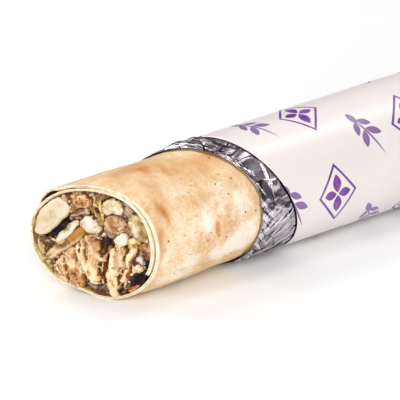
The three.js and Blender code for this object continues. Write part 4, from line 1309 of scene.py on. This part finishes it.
def makeBitTree(name, bit, material):
    tree = bpy.data.node_groups.new(name, "GeometryNodeTree")
    sockets = {}
    for way in ("INPUT", "OUTPUT"):
        tree.interface.new_socket("Geometry", in_out=way, socket_type="NodeSocketGeometry")
    for label in ("Length", "Width", "Thickness", "Torn", "Smallest", "Largest", "Tilt", "Seed"):
        kind = "NodeSocketInt" if label == "Seed" else "NodeSocketFloat"
        sockets[label] = tree.interface.new_socket(label, in_out="INPUT", socket_type=kind)
    given = tree.nodes.new("NodeGroupInput").outputs
    result = tree.nodes.new("NodeGroupOutput").inputs
    # Turned the way that its place says, and tilted a little
    turn = addNode(tree, "GeometryNodeInputNamedAttribute", {"Name": "turn"}, data_type="FLOAT_VECTOR")
    backwards = times(tree, given["Tilt"], -1.0)
    lowest, highest = [addNode(tree, "ShaderNodeCombineXYZ", dict.fromkeys(range(3), tilt)).outputs[0]
                       for tilt in (backwards, given["Tilt"])]
    tip = addNode(tree, "FunctionNodeRandomValue", {0: lowest, 1: highest, "Seed": given["Seed"]},
                  data_type="FLOAT_VECTOR")
    placed = addNode(tree, "GeometryNodeInstanceOnPoints", {
        "Points": given["Geometry"], "Instance": bitForm(tree, bit, given),
        "Rotation": calculateVector(tree, "ADD", turn.outputs[0], tip.outputs[0]),
        "Scale": drawNumber(tree, given["Smallest"], given["Largest"], given["Seed"])})
    flow = placed.outputs[0]
    for label, (low, high), step in (("raised", bit["tones"], 1.0), ("stain", bit["stains"], 2.0)):
        stored = addNode(tree, "GeometryNodeStoreNamedAttribute", {"Geometry": flow, "Name": label},
                         data_type="FLOAT", domain="INSTANCE")
        draw = drawNumber(tree, low, high, plus(tree, given["Seed"], step))
        tree.links.new(draw, stored.inputs["Value"])
        flow = stored.outputs[0]
    real = addNode(tree, "GeometryNodeRealizeInstances", {"Geometry": flow})
    # Bent and torn
    bend = addNode(tree, "ShaderNodeTexNoise", {"Scale": 0.55, "Detail": 2.0}, noise_dimensions="3D")
    centred = calculateVector(tree, "SUBTRACT", bend.outputs["Color"], (0.5, 0.5, 0.5))
    offset = addNode(tree, "ShaderNodeVectorMath", {0: centred, "Scale": times(tree, given["Torn"], 3.0)},
                     operation="SCALE").outputs[0]
    moved = addNode(tree, "GeometryNodeSetPosition", {"Geometry": real.outputs[0], "Offset": offset})
    smoothed = addNode(tree, "GeometryNodeSetShadeSmooth", {0: moved.outputs[0]})
    inputs = {"Geometry": smoothed.outputs[0], "Material": material}
    tree.links.new(addNode(tree, "GeometryNodeSetMaterial", inputs).outputs[0], result[0])
    return tree, {label: socket.identifier for label, socket in sockets.items()}


def scatterBits(name, spots, turns):  # spots in mm, turns as Euler angles
    bit = bits[name]
    mesh = bpy.data.meshes.new(name)
    mesh.from_pydata(spots.tolist(), [], [])
    attribute = mesh.attributes.new("turn", "FLOAT_VECTOR", "POINT")
    attribute.data.foreach_set("vector", turns.astype(np.float32).ravel())
    piece = addObject(name, mesh)
    tree, names = makeBitTree(name, bit, foodMaterials[bit["look"]])
    modifier = piece.modifiers.new("bits", "NODES")
    modifier.node_group = tree
    for label, identifier in names.items():
        modifier[identifier] = bit[label.lower()]
    bakeModifiers(piece)
    piece.data.transform(Matrix.Scale(0.001, 4))
    standFor(piece, [])
    print(name, len(spots), "bits")


def turnTowards(along, outwards):  # Euler angles that lay X along one direction with Z outwards
    turns = []
    for first, up in zip(along, outwards):
        third = Vector(up).normalized()
        second = third.cross(Vector(first)).normalized()
        turns.append(Matrix((second.cross(third), second, third)).transposed().to_euler()[:])
    return np.array(turns)


def spotsOnPiece(piece, count, seed, reach=4):  # places on the front of a piece
    draw = np.random.default_rng(seed)
    points, normals = readPoints(piece.data)
    right, up, behind = placeInCut(points)
    free = (normals @ np.array(cutOutwards) > 0.15) & (behind < reach)
    for a, b, size in gaps["hollows"]:
        free &= np.hypot(right - a, up - b) > size
    front = np.flatnonzero(free)
    chosen = draw.choice(front, min(count, len(front)), replace=False)
    return points[chosen], normals[chosen], grainAxis(points)


gaps = {
    "across": (-27, 27), "up": (-22.5, 24), "spacing": 1.05, "jitter": 0.4,
    "open": 1.0,  # a place counts as a gap from this depth behind the cut
    "fill": 1.3, "uneven": (-0.3, 1.1),  # how deep its bits lie
    # Bits end this far from the axis, and nearer to the bread low on the left
    "wall": 23.6, "leafyWall": 25.2, "leafyWallTo": -15, "leafyWallUnder": 4,
    "leafyTo": -14, "leafyShare": 0.45,  # green shreds lie left of this
    "paleFrom": 0.8, "paleFromInSauce": 0.45, "saucy": [(7, 9), (-3, 15.5)],  # right of and above these
    # Left open: to the right, up, radius
    "hollows": [(5.2, 0.6, 3), (5.6, -11, 2.4), (5.6, -16, 2.4), (12.4, -14, 1.6), (-14, 6, 3.6),
                (-18.6, 2.4, 4.2), (-22.5, -0.6, 2.6), (22, 14, 1.6)],
}


def gapSpots(pieces, seed):  # places between the pieces that show in the cut
    draw = np.random.default_rng(seed)
    corners, faces, used = [], [], 0
    for piece in pieces:
        points, _ = readPoints(piece.data)
        corners.extend(points.tolist())
        faces.extend([corner + used for corner in polygon.vertices] for polygon in piece.data.polygons)
        used += len(points)
    tree = BVHTree.FromPolygons(corners, faces)
    spots = []
    jitter = gaps["jitter"]
    for column in np.arange(*gaps["across"], gaps["spacing"]):
        for row in np.arange(*gaps["up"], gaps["spacing"]):
            right, up = column + draw.uniform(-jitter, jitter), row + draw.uniform(-jitter, jitter)
            spot = Vector((roll["cutX"], 0, roll["axisLift"] + up)) + cutRight * right
            distance = tree.ray_cast(spot + cutOutwards * 6, -cutOutwards)[3] or 99
            leafy = right < gaps["leafyWallTo"] and up < gaps["leafyWallUnder"]
            if math.hypot(spot.y, up) > gaps["leafyWall" if leafy else "wall"] or distance - 6 < gaps["open"]:
                continue
            if any(math.hypot(right - a, up - b) < size for a, b, size in gaps["hollows"]):
                continue
            depth = min(distance - 6.3, gaps["fill"] + draw.uniform(*gaps["uneven"]))
            spots.append((right, up, *(spot - cutOutwards * depth)))
    return np.array(spots)


def scatterAll(pieces):
    shreds, turns = [], []
    for number, (name, count) in enumerate(shredCounts.items()):
        points, normals, grain = spotsOnPiece(pieces[name], count, 60 + number)
        draw = np.random.default_rng(90 + number)
        way = np.tile(grain, (len(points), 1)) + draw.normal(0, 0.35, points.shape)
        shreds.append(points + normals * draw.uniform(-0.15, 0.25, (len(points), 1)))
        turns.append(turnTowards(way, normals))
    scatterBits("meatShreds", np.concatenate(shreds), np.concatenate(turns))
    around = [piece for name, piece in pieces.items() if name != "filling_core"]
    found = gapSpots(around + [bpy.data.objects["breadSheet"]], 4)
    draw = np.random.default_rng(12)
    share = draw.uniform(0, 1, len(found))
    leafy = (found[:, 0] < gaps["leafyTo"]) & (share < gaps["leafyShare"])
    saucy = np.zeros(len(found), bool)
    for right, up in gaps["saucy"]:
        saucy |= (found[:, 0] > right) & (found[:, 1] > up)
    pale = ~leafy & (share > np.where(saucy, gaps["paleFromInSauce"], gaps["paleFrom"]))
    for name, chosen in (("greenShreds", leafy), ("creamCrumbs", pale), ("brownCrumbs", ~leafy & ~pale)):
        spots = found[chosen][:, 2:]
        ways = draw.normal(0, 1, spots.shape)
        outwards = np.tile(np.array(cutOutwards), (len(spots), 1))
        scatterBits(name, spots, turnTowards(ways, outwards))


# Ground, light and camera

studio = {
    "floor": (250, 252, 253), "backdrop": (236, 234, 232), "worldStrength": 0.52,
    "aim": (-0.03, 0, 0.03),  # where the lights point, in metres
    # Colours of the surroundings from the horizon to straight up
    "surroundings": [(0.0, (62, 58, 60)), (0.22, (110, 106, 110)), (0.5, (196, 194, 198)),
                     (0.9, (252, 252, 255))],
}
cameraView = {"azimuth": -36.24, "elevation": 25, "roll": -0.91, "target": (-37.1, 0, 29.4),
              "distance": 3.0, "shownWidth": 172.04, "sensor": 36}
# Each light: place in metres, size, watts, colour
lights = {
    "backWindow": ((-0.3, 1.02, 1.2), 0.8, 9.6, (255, 250, 244)),
    "frontWindow": ((-0.72, -1.05, 0.82), 1.1, 16, (255, 252, 248)),
    "sideFill": ((-1.3, 0.1, 0.5), 0.6, 4, (250, 250, 255)),
    "glossBand": ((0.66, 0.0, 1.05), 0.3, 2, (255, 252, 248)),
}


def makeGround():
    mesh = bpy.data.meshes.new("tabletop")
    mesh.from_pydata([(-5, -5, 0), (5, -5, 0), (5, 5, 0), (-5, 5, 0)], [], [(0, 1, 2, 3)])
    ground = addObject("tabletop", mesh)
    material, _, shader = newMaterial("pale tabletop", Roughness=0.9)
    shader.inputs["Base Color"].default_value = ink(*studio["floor"])
    mesh.materials.append(material)


def makeLights():
    world = bpy.data.worlds.new("studio")
    world.use_nodes = True
    tree = world.node_tree
    background = tree.nodes["Background"]
    direction = addNode(tree, "ShaderNodeTexCoord").outputs["Generated"]
    height = addNode(tree, "ShaderNodeSeparateXYZ", {0: direction}).outputs[2]
    tree.links.new(colourSteps(tree, height, studio["surroundings"]), background.inputs[0])
    background.inputs[1].default_value = studio["worldStrength"]
    backdrop = addNode(tree, "ShaderNodeBackground", {"Color": ink(*studio["backdrop"])})
    seenDirectly = addNode(tree, "ShaderNodeLightPath").outputs["Is Camera Ray"]
    both = addNode(tree, "ShaderNodeMixShader",
                   {0: seenDirectly, 1: background.outputs[0], 2: backdrop.outputs[0]})
    tree.links.new(both.outputs[0], tree.nodes["World Output"].inputs["Surface"])
    bpy.context.scene.world = world
    for name, (place, size, power, colour) in lights.items():
        lamp = bpy.data.lights.new(name, "AREA")
        lamp.size = size
        lamp.energy = power
        lamp.color = ink(*colour)[:3]
        holder = addObject(name, lamp)
        holder.location = place
        aim = Vector(studio["aim"]) - holder.location
        holder.rotation_euler = aim.to_track_quat("-Z", "Y").to_euler()


def makeCamera():
    azimuth, elevation, tilt = (math.radians(cameraView[key]) for key in ("azimuth", "elevation", "roll"))
    back = Vector((math.sin(azimuth) * math.cos(elevation), -math.cos(azimuth) * math.cos(elevation),
                   math.sin(elevation)))
    level = Vector((math.cos(azimuth), math.sin(azimuth), 0))
    upright = back.cross(level)
    right = level * math.cos(tilt) + upright * math.sin(tilt)
    up = upright * math.cos(tilt) - level * math.sin(tilt)
    camera = bpy.data.cameras.new("photographer")
    camera.sensor_width = cameraView["sensor"]
    camera.lens = cameraView["sensor"] * cameraView["distance"] * 1000 / cameraView["shownWidth"]
    camera.clip_end = 50
    holder = addObject("photographer", camera)
    turned = Matrix((right, up, back)).transposed().to_4x4()
    turned.translation = Vector(cameraView["target"]) / 1000 + back * cameraView["distance"]
    holder.matrix_world = turned
    bpy.context.scene.camera = holder


makeCamera()
makeGround()
makeLights()
bpy.context.scene.view_settings.view_transform = "Standard"
print("stage ready")
makeBread()
print("bread ready")
makeFoil()
print("foil ready")
makePaper()
print("paper ready")
foodMaterials = {kind: makeFoodMaterial(kind, look) for kind, look in looks.items()}
wrapping = ("flatbread", "foil", "paper")
dressed = {}
for number, part in enumerate(frame["record"]["subparts"]):
    if part["node"] not in wrapping:
        dressed[part["node"]] = dressPiece(part["node"], 40 + number * 11)
settleTones(dressed)
print("filling ready")
scatterAll(dressed)
print("bits ready")
